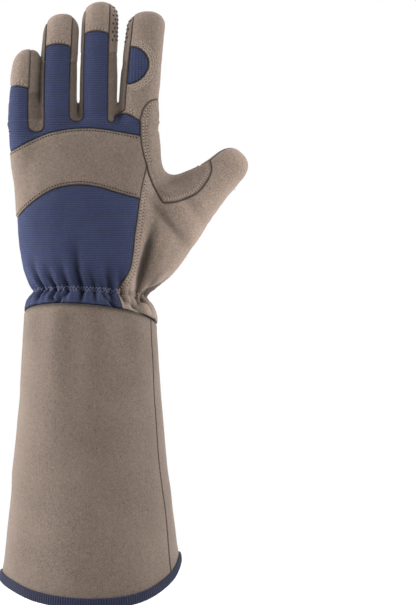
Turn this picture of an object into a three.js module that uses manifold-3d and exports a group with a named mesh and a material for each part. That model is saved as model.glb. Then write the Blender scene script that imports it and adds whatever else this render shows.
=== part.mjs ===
import * as THREE from "three";
import { mergeVertices } from "three/addons/utils/BufferGeometryUtils.js";
import Module from "manifold-3d";

// A rose pruning gauntlet for a left hand, standing as it is worn: fingers up, thumb towards +X,
// the back of the hand facing -Y and the palm +Y. The origin is the centre of the mouth.
// Every panel is its own sewn piece, cut from one hollow glove form.
// Lengths are millimetres, angles degrees.

// Walls and seams.
const suedeWall = 1.8;
const knitWall = 1.5;
const cuffWall = 1.6;
const patchWall = 1.5;
const seamGap = 0.3;

// Cuff. Heights are measured from the mouth's middle plane.
const mouthWidth = 125;
const mouthDepth = 104;
const cuffTopWidth = 93;
const cuffTopDepth = 72;
const cuffHeight = 173;
const cuffCurve = 1.42;
const hemDrop = 27;
const thumbSideSeam = -24;
const littleSideSeam = 142;
const bindingHeight = 6;
const bindingWall = 1.1;
const cuffFoldDepth = 1.6;
const cuffFoldReach = 62;
const cuffFoldStart = 1 / 12;

// Wrist, where the elastic gathers the glove.
const wristWidth = 77;
const wristDepth = 48;
const flounceHeight = 15.5;
const wristHeight = cuffHeight + flounceHeight;
const wristTilt = 4.5;
const wristSlant = 2.2;
const cuffSeamTilt = 9.5;
const cuffSeamSlant = 4.3;
const pleatDepth = 2.6;
const pleatHalfWidth = 5.2;
const pleatFade = 1.3;
const wristTiltReach = 0.5;

// Hand, from the elastic to the roots of the fingers.
const palmWidth = 104;
const palmDepth = 46;
const handLength = 127.7;
const knuckleArch = 10;
const knuckleArchShift = 0.1;
const fingerBend = 12;
const fingerRootShare = 0.72;
const littleSeamShift = 5;

// Thumb: how far its tip lies out from the cuff's axis and up from the elastic.
const thumbReach = 107;
const thumbRise = 106.7;
const thumbWidth = 39;
const thumbDepth = 34;
const thumbTipRound = 15.5;
const thumbSplay = 0.25;
const thumbForward = 2;
const thumbPatchLength = 29;
const thumbPatchHalfSpan = 0.7;

// How finely each kind of form is faceted.
const fingerSides = 12;
const thumbSides = 14;
const webSides = 12;
const handSides = 28;
const gatherSides = 60;
const cuffSides = 30;
const seamSteps = 8;
const longSeamSteps = 12;
const shortSeamSteps = 4;
const saddleSideSteps = 5;
const slotSteps = { lower: 5, upper: 6 };
const seamSheet = { columns: 8, rows: 9, reach: 1.4 };

// How square a section is: 2 is an ellipse, and more is squarer.
const ellipse = 2;
const bodySquareness = 2.25;
const domeSquareness = 2.3;

// Fingers. Root, pull and tip are shares of half the palm's width and shape the finger's line.
// Length is from the knuckle line to the tip, and round is how much of it the tip's dome takes.
// Cap and patch are how far below the tip the fingertip panel and the grip patch end.
// The seam columns are shares of the finger's half width.
// Peak is how far up the hand the palm patch reaches below the finger, as a share of its length.
const fingers = [
  { name: "little", root: -0.83, pull: -0.97, tip: -0.83, length: 45, width: 20.4, depth: 19, round: 14,
    cap: 27.5, patch: 31, seamLeft: -1.6, seamRight: 0.3, peak: 1.03 },
  { name: "ring", root: -0.405, pull: -0.47, tip: -0.38, length: 70, width: 25.2, depth: 21, round: 15,
    cap: 23.5, patch: 34, seamLeft: -0.8, seamRight: 0.62, peak: 1 },
  { name: "middle", root: 0.115, pull: 0.082, tip: 0.138, length: 78.6, width: 25.6, depth: 21.5, round: 12.5,
    cap: 23, patch: 36, seamLeft: -0.82, seamRight: 0.52, peak: 0.99 },
  { name: "index", root: 0.625, pull: 0.63, tip: 0.775, length: 71.6, width: 27.4, depth: 21, round: 12,
    cap: 0, patch: 36, seamLeft: -0.69, seamRight: 1.6, peak: 0.965 },
];

// Where the back panels dip between two fingers, as shares of the half palm width and of the hand's length.
const crotches = [
  { across: -0.734, up: 0.895, palmUp: 0.915 },
  { across: -0.236, up: 0.955, palmUp: 0.919 },
  { across: 0.33, up: 0.947, palmUp: 0.886 },
];
const palmSeamShare = 0.84;
const capBow = 0.09;
const gussetRoot = 12;
const onFinger = 4;
const pastFinger = 3;

// Sections of the hand, from just above the elastic to the finger roots.
const handSections = [
  { up: 0.03, width: 0.775, depth: 1.03, shift: -0.01, sides: gatherSides },
  { up: 0.1, width: 0.812, depth: 1.08, shift: -0.029, sides: gatherSides },
  { up: 0.2, width: 0.862, depth: 1.13, shift: -0.034, sides: gatherSides },
  { up: 0.35, width: 0.915, depth: 1.1, shift: -0.029, sides: handSides },
  { up: 0.55, width: 0.95, depth: 1, shift: -0.028, sides: handSides },
  { up: 0.73, width: 0.985, depth: 0.86, shift: -0.029, sides: handSides },
  { up: 0.84, width: 0.996, depth: 0.72, shift: -0.034, sides: handSides },
  { up: 0.905, width: 0.985, depth: 0.56, shift: -0.036, sides: handSides },
  { up: 0.943, width: 0.955, depth: 0.38, shift: -0.036, sides: handSides },
  { up: 0.958, width: 0.9, depth: 0.16, shift: -0.036, sides: handSides },
];

// The flounce below the elastic: how far down it each section is, how much of its flare and pleats
// it has, and how square it is.
const flounceSections = [
  { down: 1, flare: 1, pleated: 0.3, square: ellipse },
  { down: 0.45, flare: 0.7, pleated: 0.75, square: 2.1 },
  { down: 0, flare: 0, pleated: 1, square: bodySquareness },
];

// Sections of a finger: where along its line, and its width and depth as shares. The dome starts at the last.
const fingerSections = [
  { along: 0, width: 0.97, depth: 1.12 },
  { along: 0.35, width: 1, depth: 1.1 },
  { along: 0.68, width: 0.99, depth: 1 },
  { along: 1, width: 0.95, depth: 0.96 },
];
const domeSteps = [0, 0.5, 0.8, 0.96];
const slopeStep = 0.03;

// Sections of the thumb: place along its line and size, as shares of the thumb's own measures.
const thumbSections = [
  { across: 0.242, up: 0.112, width: 1.02, depth: 1 },
  { across: 0.36, up: 0.285, width: 1.2, depth: 1.02 },
  { across: 0.547, up: 0.529, width: 1.18, depth: 0.92 },
  { across: 0.716, up: 0.675, width: 0.87, depth: 0.8 },
  { across: 0.893, up: 0.834, width: 0.62, depth: 0.66 },
];
const thumbEnd = { across: 0.994, up: 0.94 };

// The web between the thumb and the index finger, from inside the hand to inside the thumb.
const webSections = [
  { across: 0.38, up: 0.72, tall: 0.36, depth: 0.5 },
  { across: 0.505, up: 0.615, tall: 0.33, depth: 0.46 },
  { across: 0.66, up: 0.615, tall: 0.3, depth: 0.42 },
];

// Pleats that the elastic draws in: the angle round the wrist, depth as a share and reach up the hand.
const pleats = [
  { at: 198, deep: 0.8, reach: 24 },
  { at: 216, deep: 0.8, reach: 30 },
  { at: 234, deep: 1, reach: 38 },
  { at: 246, deep: 0.8, reach: 30 },
  { at: 264, deep: 1, reach: 42 },
  { at: 276, deep: 0.8, reach: 28 },
  { at: 294, deep: 0.8, reach: 32 },
  { at: 306, deep: 0.7, reach: 22 },
  { at: 324, deep: 1.3, reach: 46 },
  { at: 342, deep: 0.8, reach: 20 },
  { at: 18, deep: 0.8, reach: 20 },
  { at: 36, deep: 0.9, reach: 26 },
  { at: 54, deep: 1, reach: 32 },
  { at: 72, deep: 0.9, reach: 36 },
  { at: 90, deep: 1, reach: 42 },
  { at: 108, deep: 0.9, reach: 40 },
  { at: 126, deep: 0.9, reach: 32 },
  { at: 144, deep: 0.8, reach: 26 },
  { at: 162, deep: 0.7, reach: 20 },
  { at: 180, deep: 0.7, reach: 20 },
];

// The hem's line round the mouth: how far it drops below the mouth's middle plane, as a share.
const hem = [
  { at: 0, drop: -0.15 },
  { at: 30, drop: -0.04 },
  { at: 60, drop: 0.1 },
  { at: 90, drop: 0.24 },
  { at: 120, drop: 0.35 },
  { at: 150, drop: 0.36 },
  { at: 180, drop: 0.3 },
  { at: 205, drop: 0.5 },
  { at: 235, drop: 0.84 },
  { at: 270, drop: 1 },
  { at: 305, drop: 0.84 },
  { at: 335, drop: 0.34 },
];

// Soft folds in the top of the cuff, which the flounce hangs over.
const cuffFolds = [
  { at: 238, deep: 1, wide: 12 },
  { at: 256, deep: -0.8, wide: 10 },
  { at: 276, deep: 0.7, wide: 12 },
  { at: 300, deep: -0.4, wide: 14 },
  { at: 205, deep: 0.4, wide: 14 },
  { at: 60, deep: 0.5, wide: 16 },
  { at: 110, deep: 0.5, wide: 16 },
];

// Seam lines on the back of the hand, as shares of half the palm's width and of the hand's length.
const bandTop = [
  { across: -1.3, up: 0.74 },
  { across: -0.976, up: 0.81 },
  { across: -0.707, up: 0.865 },
  { across: -0.491, up: 0.895 },
  { across: -0.188, up: 0.914 },
  { across: 0.074, up: 0.914 },
  { across: 0.33, up: 0.9 },
  { across: 0.74, up: 0.87 },
];
const bandBottom = [
  { across: -1.3, up: 0.29 },
  { across: -0.976, up: 0.431 },
  { across: -0.875, up: 0.473 },
  { across: -0.707, up: 0.53 },
  { across: -0.532, up: 0.574 },
  { across: -0.357, up: 0.598 },
  { across: -0.114, up: 0.607 },
  { across: 0.155, up: 0.59 },
  { across: 0.411, up: 0.558 },
  { across: 0.666, up: 0.53 },
];
const thumbSideLine = [
  { across: 0.673, up: 0.963 },
  { across: 0.68, up: 0.848 },
  { across: 0.715, up: 0.771 },
  { across: 0.755, up: 0.713 },
  { across: 0.72, up: 0.645 },
  { across: 0.666, up: 0.53 },
  { across: 0.639, up: 0.437 },
  { across: 0.599, up: 0.327 },
  { across: 0.572, up: 0.223 },
  { across: 0.532, up: 0.141 },
  { across: 0.424, up: 0.064 },
  { across: 0.378, up: 0.02 },
  { across: 0.451, up: -0.084 },
];
const saddleTop = [
  { across: 1.3, up: 1.09 },
  { across: 1.003, up: 1.084 },
  { across: 0.93, up: 1.075 },
  { across: 0.855, up: 1.073 },
  { across: 0.774, up: 1.056 },
  { across: 0.707, up: 1.015 },
  { across: 0.673, up: 0.963 },
];
const saddleBottom = [
  { across: 0.755, up: 0.713 },
  { across: 0.787, up: 0.662 },
  { across: 0.855, up: 0.596 },
  { across: 0.976, up: 0.508 },
];
const saddleThumbLine = [
  { across: 0.976, up: 0.508 },
  { across: 1.111, up: 0.508 },
  { across: 1.272, up: 0.53 },
  { across: 1.434, up: 0.563 },
  { across: 1.555, up: 0.621 },
  { across: 1.622, up: 0.678 },
  { across: 1.609, up: 0.74 },
  { across: 1.5, up: 0.9 },
];
const indexBaseLine = [
  { across: 0.33, up: 0.985 },
  { across: 0.491, up: 0.996 },
  { across: 0.673, up: 0.955 },
];
const flexInsert = { up: 0.469, tall: 26.5, wide: 14.3 };

// The reinforcement on the palm, below the finger roots, with a slot for the palm's crease.
const palmPatchEdge = [
  { across: -0.965, up: 0.94 },
  { across: -0.96, up: 0.84 },
  { across: -0.935, up: 0.7 },
  { across: -0.86, up: 0.56 },
  { across: -0.68, up: 0.4 },
  { across: -0.4, up: 0.28 },
  { across: 0, up: 0.235 },
  { across: 0.35, up: 0.3 },
  { across: 0.6, up: 0.43 },
  { across: 0.7, up: 0.56 },
  { across: 0.635, up: 0.63 },
];
const palmSlotLower = [
  { across: 0.635, up: 0.63 },
  { across: 0.44, up: 0.672 },
  { across: 0.18, up: 0.7 },
  { across: -0.27, up: 0.722 },
];
const palmSlotUpper = [
  { across: -0.27, up: 0.748 },
  { across: -0.02, up: 0.752 },
  { across: 0.18, up: 0.735 },
  { across: 0.44, up: 0.704 },
  { across: 0.8, up: 0.69 },
];
const palmPatchDip = 0.035;
const palmPatchInset = 3;
const palmPatchEnd = 0.44;
const palmPatchPeak = { across: 0.22, drop: 0.12 };

// How far the outlines run on past what they cut, and the closest that two points may lie.
const farAway = 400;
const underFlounce = 60;
const underPalm = 66.5;
const besideIndex = 30;
const closest = 0.01;
const mergeDistance = 1e-4;
const sharpestCorner = 0.3;

const deg = THREE.MathUtils.degToRad;
const lerp = THREE.MathUtils.lerp;
const axis = {
  x: new THREE.Vector3(1, 0, 0),
  y: new THREE.Vector3(0, 1, 0),
  z: new THREE.Vector3(0, 0, 1),
};
const wasm = await Module();
wasm.setup();

// A closed three.js geometry as a solid that can be joined and cut.
function solidOf(geometry) {
  const bare = geometry.clone();
  const spare = Object.keys(bare.attributes).filter((name) => name !== "position");
  spare.forEach((name) => bare.deleteAttribute(name));
  const merged = mergeVertices(bare, mergeDistance);
  return new wasm.Manifold(
    new wasm.Mesh({
      numProp: 3,
      vertProperties: new Float32Array(merged.attributes.position.array),
      triVerts: new Uint32Array(merged.index.array),
    }),
  );
}

function geometryOf(solid) {
  const { numProp, vertProperties, triVerts } = solid.getMesh();
  const position = new THREE.InterleavedBuffer(new Float32Array(vertProperties), numProp);
  const geometry = new THREE.BufferGeometry();
  geometry.setAttribute("position", new THREE.InterleavedBufferAttribute(position, 3, 0));
  geometry.setIndex(new THREE.BufferAttribute(new Uint32Array(triVerts), 1));
  geometry.computeVertexNormals();
  return geometry;
}

// A closed skin over a stack of rings, which may have different numbers of points. Both ends are closed.
function skinOver(rings) {
  const points = [];
  const index = [];
  const starts = rings.map((ring) => points.push(...ring) - ring.length);
  for (let level = 0; level + 1 < rings.length; level++) {
    const [low, high] = [rings[level].length, rings[level + 1].length];
    const lowAt = (i) => starts[level] + (i % low);
    const highAt = (i) => starts[level + 1] + (i % high);
    for (let i = 0, j = 0; i < low || j < high; ) {
      const advanceLow = j >= high || (i < low && (i + 1) / low <= (j + 1) / high);
      if (advanceLow) index.push(lowAt(i), lowAt(++i), highAt(j));
      else index.push(lowAt(i), highAt(j + 1), highAt(j++));
    }
  }
  for (const [ring, start, turn] of [[rings[0], starts[0], 1], [rings.at(-1), starts.at(-1), 0]]) {
    const centre = ring.reduce((sum, p) => sum.add(p), new THREE.Vector3()).divideScalar(ring.length);
    const hub = points.push(centre) - 1;
    ring.forEach((_, i) => {
      const pair = [start + i, start + ((i + 1) % ring.length)];
      index.push(...(turn ? [pair[1], pair[0]] : pair), hub);
    });
  }
  return new THREE.BufferGeometry().setFromPoints(points).setIndex(index);
}

// A closed skin over rings that follow one another round a fold, the last one joined to the first.
function skinRound(rings) {
  const [levels, count] = [rings.length, rings[0].length];
  const at = (level, i) => (level % levels) * count + (i % count);
  const index = rings.flatMap((ring, level) =>
    ring.flatMap((_, i) => {
      const [a, b, c, d] = [at(level, i), at(level, i + 1), at(level + 1, i + 1), at(level + 1, i)];
      return [a, c, b, a, d, c];
    }),
  );
  const geometry = new THREE.BufferGeometry().setFromPoints(rings.flat()).setIndex(index);
  geometry.computeVertexNormals();
  return geometry;
}

// One section: a rounded outline with half sizes a and b in the plane of two axes.
function ovalRing(centre, sideways, depthways, a, b, sides, squareness = bodySquareness) {
  return Array.from({ length: sides }, (_, i) => {
    const angle = (2 * Math.PI * i) / sides;
    const [c, s] = [Math.cos(angle), Math.sin(angle)];
    const bulge = 2 / squareness;
    return centre
      .clone()
      .addScaledVector(sideways, a * Math.sign(c) * Math.abs(c) ** bulge)
      .addScaledVector(depthways, b * Math.sign(s) * Math.abs(s) ** bulge);
  });
}

// The middle surface that the fingers bend along and the side seams follow: y at a place x, z.
const rootHeight = wristHeight + fingerRootShare * handLength;
const topHeight = wristHeight + handLength + Math.max(...fingers.map((f) => f.length));
function middleY(x, z) {
  const lift = Math.max(0, (z - rootHeight) / (topHeight - rootHeight));
  const beyondPalm = Math.max(0, x - palmWidth / 2 + seamGap);
  const towardsLittle = THREE.MathUtils.clamp(0.5 - x / palmWidth, 0, 1);
  return fingerBend * (1 + towardsLittle) * lift ** 2 + thumbSplay * beyondPalm;
}
function sideSeamY(x, z) {
  return middleY(x, z) + littleSeamShift * THREE.MathUtils.smoothstep(-x, 0, palmWidth / 2);
}

// Heights of the three tilted rings: the elastic, the cuff seam and the hem.
const wristAt = (angle) => wristHeight - wristTilt * Math.sin(angle) - wristSlant * Math.cos(angle);
const cuffSeamAt = (angle) => cuffHeight - cuffSeamTilt * Math.sin(angle) - cuffSeamSlant * Math.cos(angle);

// The angle between two directions, and how deep the pleats are in one of them.
const turnBetween = (a, b) => Math.abs(((((a - b) % 360) + 540) % 360) - 180);
function pleatAt(angle, above) {
  const turn = THREE.MathUtils.radToDeg(angle);
  return pleats.reduce((sum, { at, deep, reach }) => {
    const across = Math.exp(-((turnBetween(turn, at) / pleatHalfWidth) ** 2));
    const along = Math.max(0, 1 - above / reach) ** pleatFade;
    return sum + pleatDepth * deep * across * along;
  }, 0);
}

// A ring of the hand or flounce. The offset grows the form outwards, or inwards when negative.
function handRing({ width, depth, shift, sides, above, pleated = 1, square, heightAt }, offset) {
  const [a, b] = [width / 2 + offset, depth / 2 + offset];
  return ovalRing(new THREE.Vector3(), axis.x, axis.y, a, b, sides, square).map((p, i) => {
    const angle = (2 * Math.PI * i) / sides;
    const inwards = pleated * pleatAt(angle, above);
    const scale = 1 - inwards / p.length();
    return new THREE.Vector3(p.x * scale + shift, p.y * scale, heightAt(angle));
  });
}

function handForm(offset) {
  const flounce = flounceSections.map(({ down, flare, pleated, square }) => ({
    width: lerp(wristWidth, cuffTopWidth, flare),
    depth: lerp(wristDepth, cuffTopDepth, flare),
    shift: 0,
    sides: gatherSides,
    above: 0,
    pleated,
    square,
    heightAt: (angle) => lerp(wristAt(angle), cuffSeamAt(angle) + seamGap, down),
  }));
  // The hollow runs on below the cuff seam, so that the wrist end stays open.
  if (offset < 0) {
    const first = flounce[0];
    const below = cuffSeamTilt;
    flounce.unshift({ ...first, heightAt: (angle) => first.heightAt(angle) - below });
  }
  const hand = handSections.map(({ up, width, depth, shift, sides }) => ({
    width: width * palmWidth,
    depth: depth * palmDepth,
    shift: shift * palmWidth,
    sides,
    above: up * handLength,
    heightAt: (angle) =>
      lerp(wristAt(angle), wristHeight, Math.min(1, up / wristTiltReach)) +
      up * handLength -
      knuckleArch * up ** 3 * (Math.cos(angle) - knuckleArchShift) ** 2,
  }));
  const levels = [...flounce, ...hand];
  const rings = levels.map((level) => handRing(level, offset));
  rings.at(-1).forEach((p) => (p.z += offset));
  return solidOf(skinOver(rings));
}

// A finger's line in the front view, from its root in the hand to its tip.
function fingerLine({ root, pull, tip, length }) {
  const half = palmWidth / 2;
  const top = wristHeight + handLength + length;
  return new THREE.QuadraticBezierCurve3(
    new THREE.Vector3(root * half, 0, rootHeight),
    new THREE.Vector3(pull * half, 0, (rootHeight + top) / 2),
    new THREE.Vector3(tip * half, 0, top),
  );
}
function fingerXAt(finger, z) {
  const line = fingerLine(finger);
  const share = (z - line.v0.z) / (line.v2.z - line.v0.z);
  return line.getPoint(THREE.MathUtils.clamp(share, 0, 1)).x;
}

// Rings that close a tube with a rounded end.
function domeRings(base, tip, sideways, depthways, a, b, sides) {
  return domeSteps.map((step) => {
    const size = (1 - step ** domeSquareness) ** (1 / domeSquareness);
    return ovalRing(base.clone().lerp(tip, step), sideways, depthways, a * size, b * size, sides);
  });
}

function fingerForm(finger, offset) {
  const line = fingerLine(finger);
  const place = (t) => {
    const p = line.getPoint(t);
    return p.setY(middleY(p.x, p.z));
  };
  const span = line.v2.z - line.v0.z;
  const domeStart = 1 - finger.round / span;
  const tip = place(1);
  tip.z += offset;
  const frameAt = (t) => {
    const ahead = place(Math.min(1, t + slopeStep)).sub(place(t - slopeStep)).normalize();
    const sideways = axis.x.clone().addScaledVector(ahead, -ahead.x).normalize();
    return { sideways, depthways: ahead.clone().cross(sideways) };
  };
  const rings = fingerSections.flatMap(({ along, width, depth }) => {
    const centre = place(along * domeStart);
    const { sideways, depthways } = frameAt(along * domeStart);
    const a = (width * finger.width) / 2 + offset;
    const b = (depth * finger.depth) / 2 + offset;
    if (along === 1) return domeRings(centre, tip, sideways, depthways, a, b, fingerSides);
    return [ovalRing(centre, sideways, depthways, a, b, fingerSides)];
  });
  return solidOf(skinOver(rings));
}

// A place on the thumb's middle line, from its shares of the thumb's reach and rise.
const thumbPlace = ({ across, up }) => {
  const [x, z] = [across * thumbReach, wristHeight + up * thumbRise];
  return new THREE.Vector3(x, middleY(x, z) + thumbForward, z);
};
const thumbTip = thumbPlace(thumbEnd);
const thumbLine = new THREE.CatmullRomCurve3([...thumbSections.map(thumbPlace), thumbTip]);

function thumbForm(offset) {
  const places = thumbSections.map(thumbPlace);
  const rings = places.slice(0, -1).map((place, i) => {
    const ahead = places[i + 1].clone().sub(places[Math.max(0, i - 1)]).normalize();
    return thumbRing(place, ahead, thumbSections[i], offset);
  });
  const last = places.at(-1);
  const ahead = thumbTip.clone().sub(last).normalize();
  const { sideways, depthways } = acrossThumb(ahead);
  const end = last.clone().addScaledVector(ahead, thumbTipRound + offset);
  const { width, depth } = thumbSections.at(-1);
  const [a, b] = [(width * thumbWidth) / 2 + offset, (depth * thumbDepth) / 2 + offset];
  rings.push(...domeRings(last, end, sideways, depthways, a, b, thumbSides));
  return solidOf(skinOver(rings));
}
function acrossThumb(ahead) {
  const depthways = axis.y.clone().addScaledVector(ahead, -ahead.y).normalize();
  return { sideways: depthways.clone().cross(ahead), depthways };
}
function thumbRing(place, ahead, { width, depth }, offset) {
  const { sideways, depthways } = acrossThumb(ahead);
  const [a, b] = [(width * thumbWidth) / 2 + offset, (depth * thumbDepth) / 2 + offset];
  return ovalRing(place, sideways, depthways, a, b, thumbSides);
}

// The web: its sections stand upright, across the way from the hand to the thumb.
function webForm(offset) {
  const rings = webSections.map((section) => {
    const a = (section.tall * thumbRise) / 2 + offset;
    const b = (section.depth * thumbDepth) / 2 + offset;
    return ovalRing(thumbPlace(section), axis.z, axis.y.clone().negate(), a, b, webSides);
  });
  return solidOf(skinOver(rings));
}

// The whole glove above the cuff, as one solid whose surface lies at an offset from the outside.
function gloveForm(offset) {
  const fingerForms = fingers.map((finger) => fingerForm(finger, offset));
  const branches = [...fingerForms, thumbForm(offset), webForm(offset)];
  return branches.reduce((sum, form) => sum.add(form), handForm(offset));
}

// Front-view outlines. A place is in shares of half the palm's width and of the hand's length.
const knuckleLine = wristHeight + handLength;
const spot = ({ across, up }) => new THREE.Vector2((across * palmWidth) / 2, wristHeight + up * handLength);
const seamCurve = (rows, steps = seamSteps) => new THREE.SplineCurve(rows.map(spot)).getPoints(steps);
const side = { left: -farAway, right: farAway };

// An outline moved outwards everywhere by a distance, inwards when it is negative.
function grown(outline, distance) {
  const count = outline.length;
  const turn = Math.sign(THREE.ShapeUtils.area(outline));
  const normal = (a, b) => new THREE.Vector2(b.y - a.y, a.x - b.x).normalize().multiplyScalar(turn);
  return outline.map((point, i) => {
    const before = normal(outline[(i + count - 1) % count], point);
    const after = normal(point, outline[(i + 1) % count]);
    const stretch = Math.max(sharpestCorner, 1 + before.dot(after));
    return point.clone().addScaledVector(before.add(after), distance / stretch);
  });
}
function longExtrusion(outline) {
  return new THREE.ExtrudeGeometry(new THREE.Shape(outline), { depth: 2 * farAway, bevelEnabled: false });
}
function prism(outline) {
  const clean = outline.filter((p, i) => p.distanceTo(outline[(i + 1) % outline.length]) > closest);
  return solidOf(longExtrusion(clean).rotateX(Math.PI / 2).translate(0, farAway, 0));
}

// Everything on the back side of a surface y(x, z), as a solid.
function behind(limitY, offset) {
  const { columns, rows, reach } = seamSheet;
  const [x0, x1] = [-palmWidth, thumbReach * reach];
  const [z0, z1] = [cuffHeight / 2, topHeight + handLength / 4];
  const points = [];
  for (const front of [false, true]) {
    for (let r = 0; r <= rows; r++) {
      for (let c = 0; c <= columns; c++) {
        const [x, z] = [lerp(x0, x1, c / columns), lerp(z0, z1, r / rows)];
        points.push(new THREE.Vector3(x, front ? -farAway : limitY(x, z) + offset, z));
      }
    }
  }
  const at = (front, r, c) => (front ? (rows + 1) * (columns + 1) : 0) + r * (columns + 1) + c;
  const index = [];
  const quad = (a, b, c, d) => index.push(a, b, c, a, c, d);
  for (let r = 0; r < rows; r++) {
    for (let c = 0; c < columns; c++) {
      quad(at(0, r, c), at(0, r + 1, c), at(0, r + 1, c + 1), at(0, r, c + 1));
      quad(at(1, r, c), at(1, r, c + 1), at(1, r + 1, c + 1), at(1, r + 1, c));
    }
  }
  for (let c = 0; c < columns; c++) {
    quad(at(0, 0, c), at(0, 0, c + 1), at(1, 0, c + 1), at(1, 0, c));
    quad(at(1, rows, c), at(1, rows, c + 1), at(0, rows, c + 1), at(0, rows, c));
  }
  for (let r = 0; r < rows; r++) {
    quad(at(1, r, 0), at(1, r + 1, 0), at(0, r + 1, 0), at(0, r, 0));
    quad(at(0, r, columns), at(0, r + 1, columns), at(1, r + 1, columns), at(1, r, columns));
  }
  return solidOf(new THREE.BufferGeometry().setFromPoints(points).setIndex(index));
}

// Cutters. Each takes how far it is grown, so that a neighbour keeps the seam gap from it.
const backCut = (outline) => (grow) => prism(grown(outline, grow)).intersect(behind(sideSeamY, grow));
const palmCut = (outline) => (grow) => prism(grown(outline, grow)).subtract(behind(sideSeamY, -grow));
const throughCut = (outline) => (grow) => prism(grown(outline, grow));

// A seam line that runs up a finger at a share of its half width.
function seamUpFinger(finger, share, low, high, steps = shortSeamSteps) {
  return Array.from({ length: steps + 1 }, (_, i) => {
    const z = lerp(low, high, i / steps);
    return new THREE.Vector2(fingerXAt(finger, z) + (share * finger.width) / 2, z);
  });
}
const tipOf = (finger) => knuckleLine + finger.length;
const capLineOf = (finger) => tipOf(finger) - finger.cap;
const patchLineOf = (finger) => tipOf(finger) - finger.patch;
const [little, ring, middle, index] = fingers;
const crotchSpots = crotches.map(spot);
const palmCrotchSpots = crotches.map(({ across, palmUp }) => spot({ across, up: palmUp }));
const pastTips = topHeight + handLength / 8;

// The edge across a finger's back where the knit meets the fingertip, bowed towards the tip.
function capEdge(finger) {
  const z = capLineOf(finger);
  const bow = finger.width * capBow;
  const shares = [1, 0.5, 0, -0.5, -1];
  const middleShare = (finger.seamLeft + finger.seamRight) / 2;
  const halfSpan = (finger.seamRight - finger.seamLeft) / 2;
  return shares.map((s) => {
    const x = fingerXAt(finger, z) + ((middleShare + s * halfSpan) * finger.width) / 2;
    return new THREE.Vector2(x, z + bow * (1 - s * s));
  });
}

// Strips of the back panels that climb the little, ring and middle fingers.
function knitOutline() {
  const climb = [little, ring, middle].map((finger, i) => ({
    left: i ? seamUpFinger(finger, finger.seamLeft, crotchSpots[i - 1].y + onFinger, capLineOf(finger)) : [],
    right: seamUpFinger(finger, finger.seamRight, crotchSpots[i].y + onFinger, capLineOf(finger)),
    cap: capEdge(finger),
  }));
  const far = new THREE.Vector2(side.left, capLineOf(little));
  return [
    ...seamCurve(bandTop).map((p, i) => (i ? p : new THREE.Vector2(side.left, p.y))),
    ...seamCurve(indexBaseLine, shortSeamSteps).reverse(),
    crotchSpots[2],
    ...climb[2].right.slice(0, -1),
    ...climb[2].cap,
    ...climb[2].left.slice(0, -1).reverse(),
    crotchSpots[1],
    ...climb[1].right.slice(0, -1),
    ...climb[1].cap,
    ...climb[1].left.slice(0, -1).reverse(),
    crotchSpots[0],
    ...climb[0].right.slice(0, -1),
    ...climb[0].cap.slice(0, 3),
    far,
  ];
}

// A fingertip panel. The little finger's runs on round its outer side.
function capOutline(finger) {
  const edge = capEdge(finger);
  const slide = fingerXAt(finger, tipOf(finger)) - fingerXAt(finger, capLineOf(finger));
  const topRight = new THREE.Vector2(edge[0].x + slide, pastTips);
  if (finger !== little) return [...edge, new THREE.Vector2(edge.at(-1).x + slide, pastTips), topRight];
  const outer = [edge[2].y, pastTips].map((z) => new THREE.Vector2(side.left, z));
  return [...edge.slice(0, 3), ...outer, topRight];
}

function indexBackOutline() {
  const low = seamCurve(indexBaseLine, shortSeamSteps);
  const beside = fingerXAt(index, tipOf(index)) + index.width;
  return [
    ...low,
    new THREE.Vector2(beside, low.at(-1).y - besideIndex),
    new THREE.Vector2(beside, pastTips),
    ...seamUpFinger(index, index.seamLeft, low[0].y + onFinger, pastTips).reverse(),
  ];
}
function flexInsertOutline() {
  const z = knuckleLine + flexInsert.up * index.length;
  const left = (at) => fingerXAt(index, at) + (index.seamLeft * index.width) / 2;
  return Array.from({ length: seamSteps + 1 }, (_, i) => {
    const angle = -Math.PI / 2 + (Math.PI * i) / seamSteps;
    const height = z + (Math.sin(angle) * flexInsert.tall) / 2;
    return new THREE.Vector2(left(height) + flexInsert.wide * Math.cos(angle), height);
  });
}
function saddleOutline() {
  const upper = thumbSideLine.slice(0, 4);
  return [
    ...seamCurve(saddleTop),
    ...seamCurve(upper, saddleSideSteps).slice(1),
    ...seamCurve(saddleBottom, shortSeamSteps).slice(1),
    ...seamCurve(saddleThumbLine).slice(1),
  ];
}
function bandOutline() {
  const edge = seamCurve(thumbSideLine, longSeamSteps);
  const [top, bottom] = [seamCurve(bandTop), seamCurve(bandBottom)];
  top[0].x = side.left;
  bottom[0].x = side.left;
  const right = edge.filter((p) => p.y < top.at(-1).y && p.y > bottom.at(-1).y);
  return [...bottom, ...right.reverse(), ...top.reverse()];
}
function backPanelOutline() {
  const edge = seamCurve(thumbSideLine, longSeamSteps);
  const top = seamCurve(bandBottom);
  top[0].x = side.left;
  const right = edge.filter((p) => p.y < top.at(-1).y);
  const low = right.at(-1).y - underFlounce;
  const base = [side.left, right.at(-1).x].map((x) => new THREE.Vector2(x, low));
  return [...base, ...right.reverse(), ...top.reverse()];
}
function thumbBackOutline() {
  const edge = seamCurve(thumbSideLine, longSeamSteps);
  const low = edge.at(-1).y - underFlounce;
  return [
    new THREE.Vector2(edge.at(-1).x, low),
    new THREE.Vector2(side.right, low),
    new THREE.Vector2(side.right, edge[0].y),
    ...edge,
  ];
}

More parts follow.
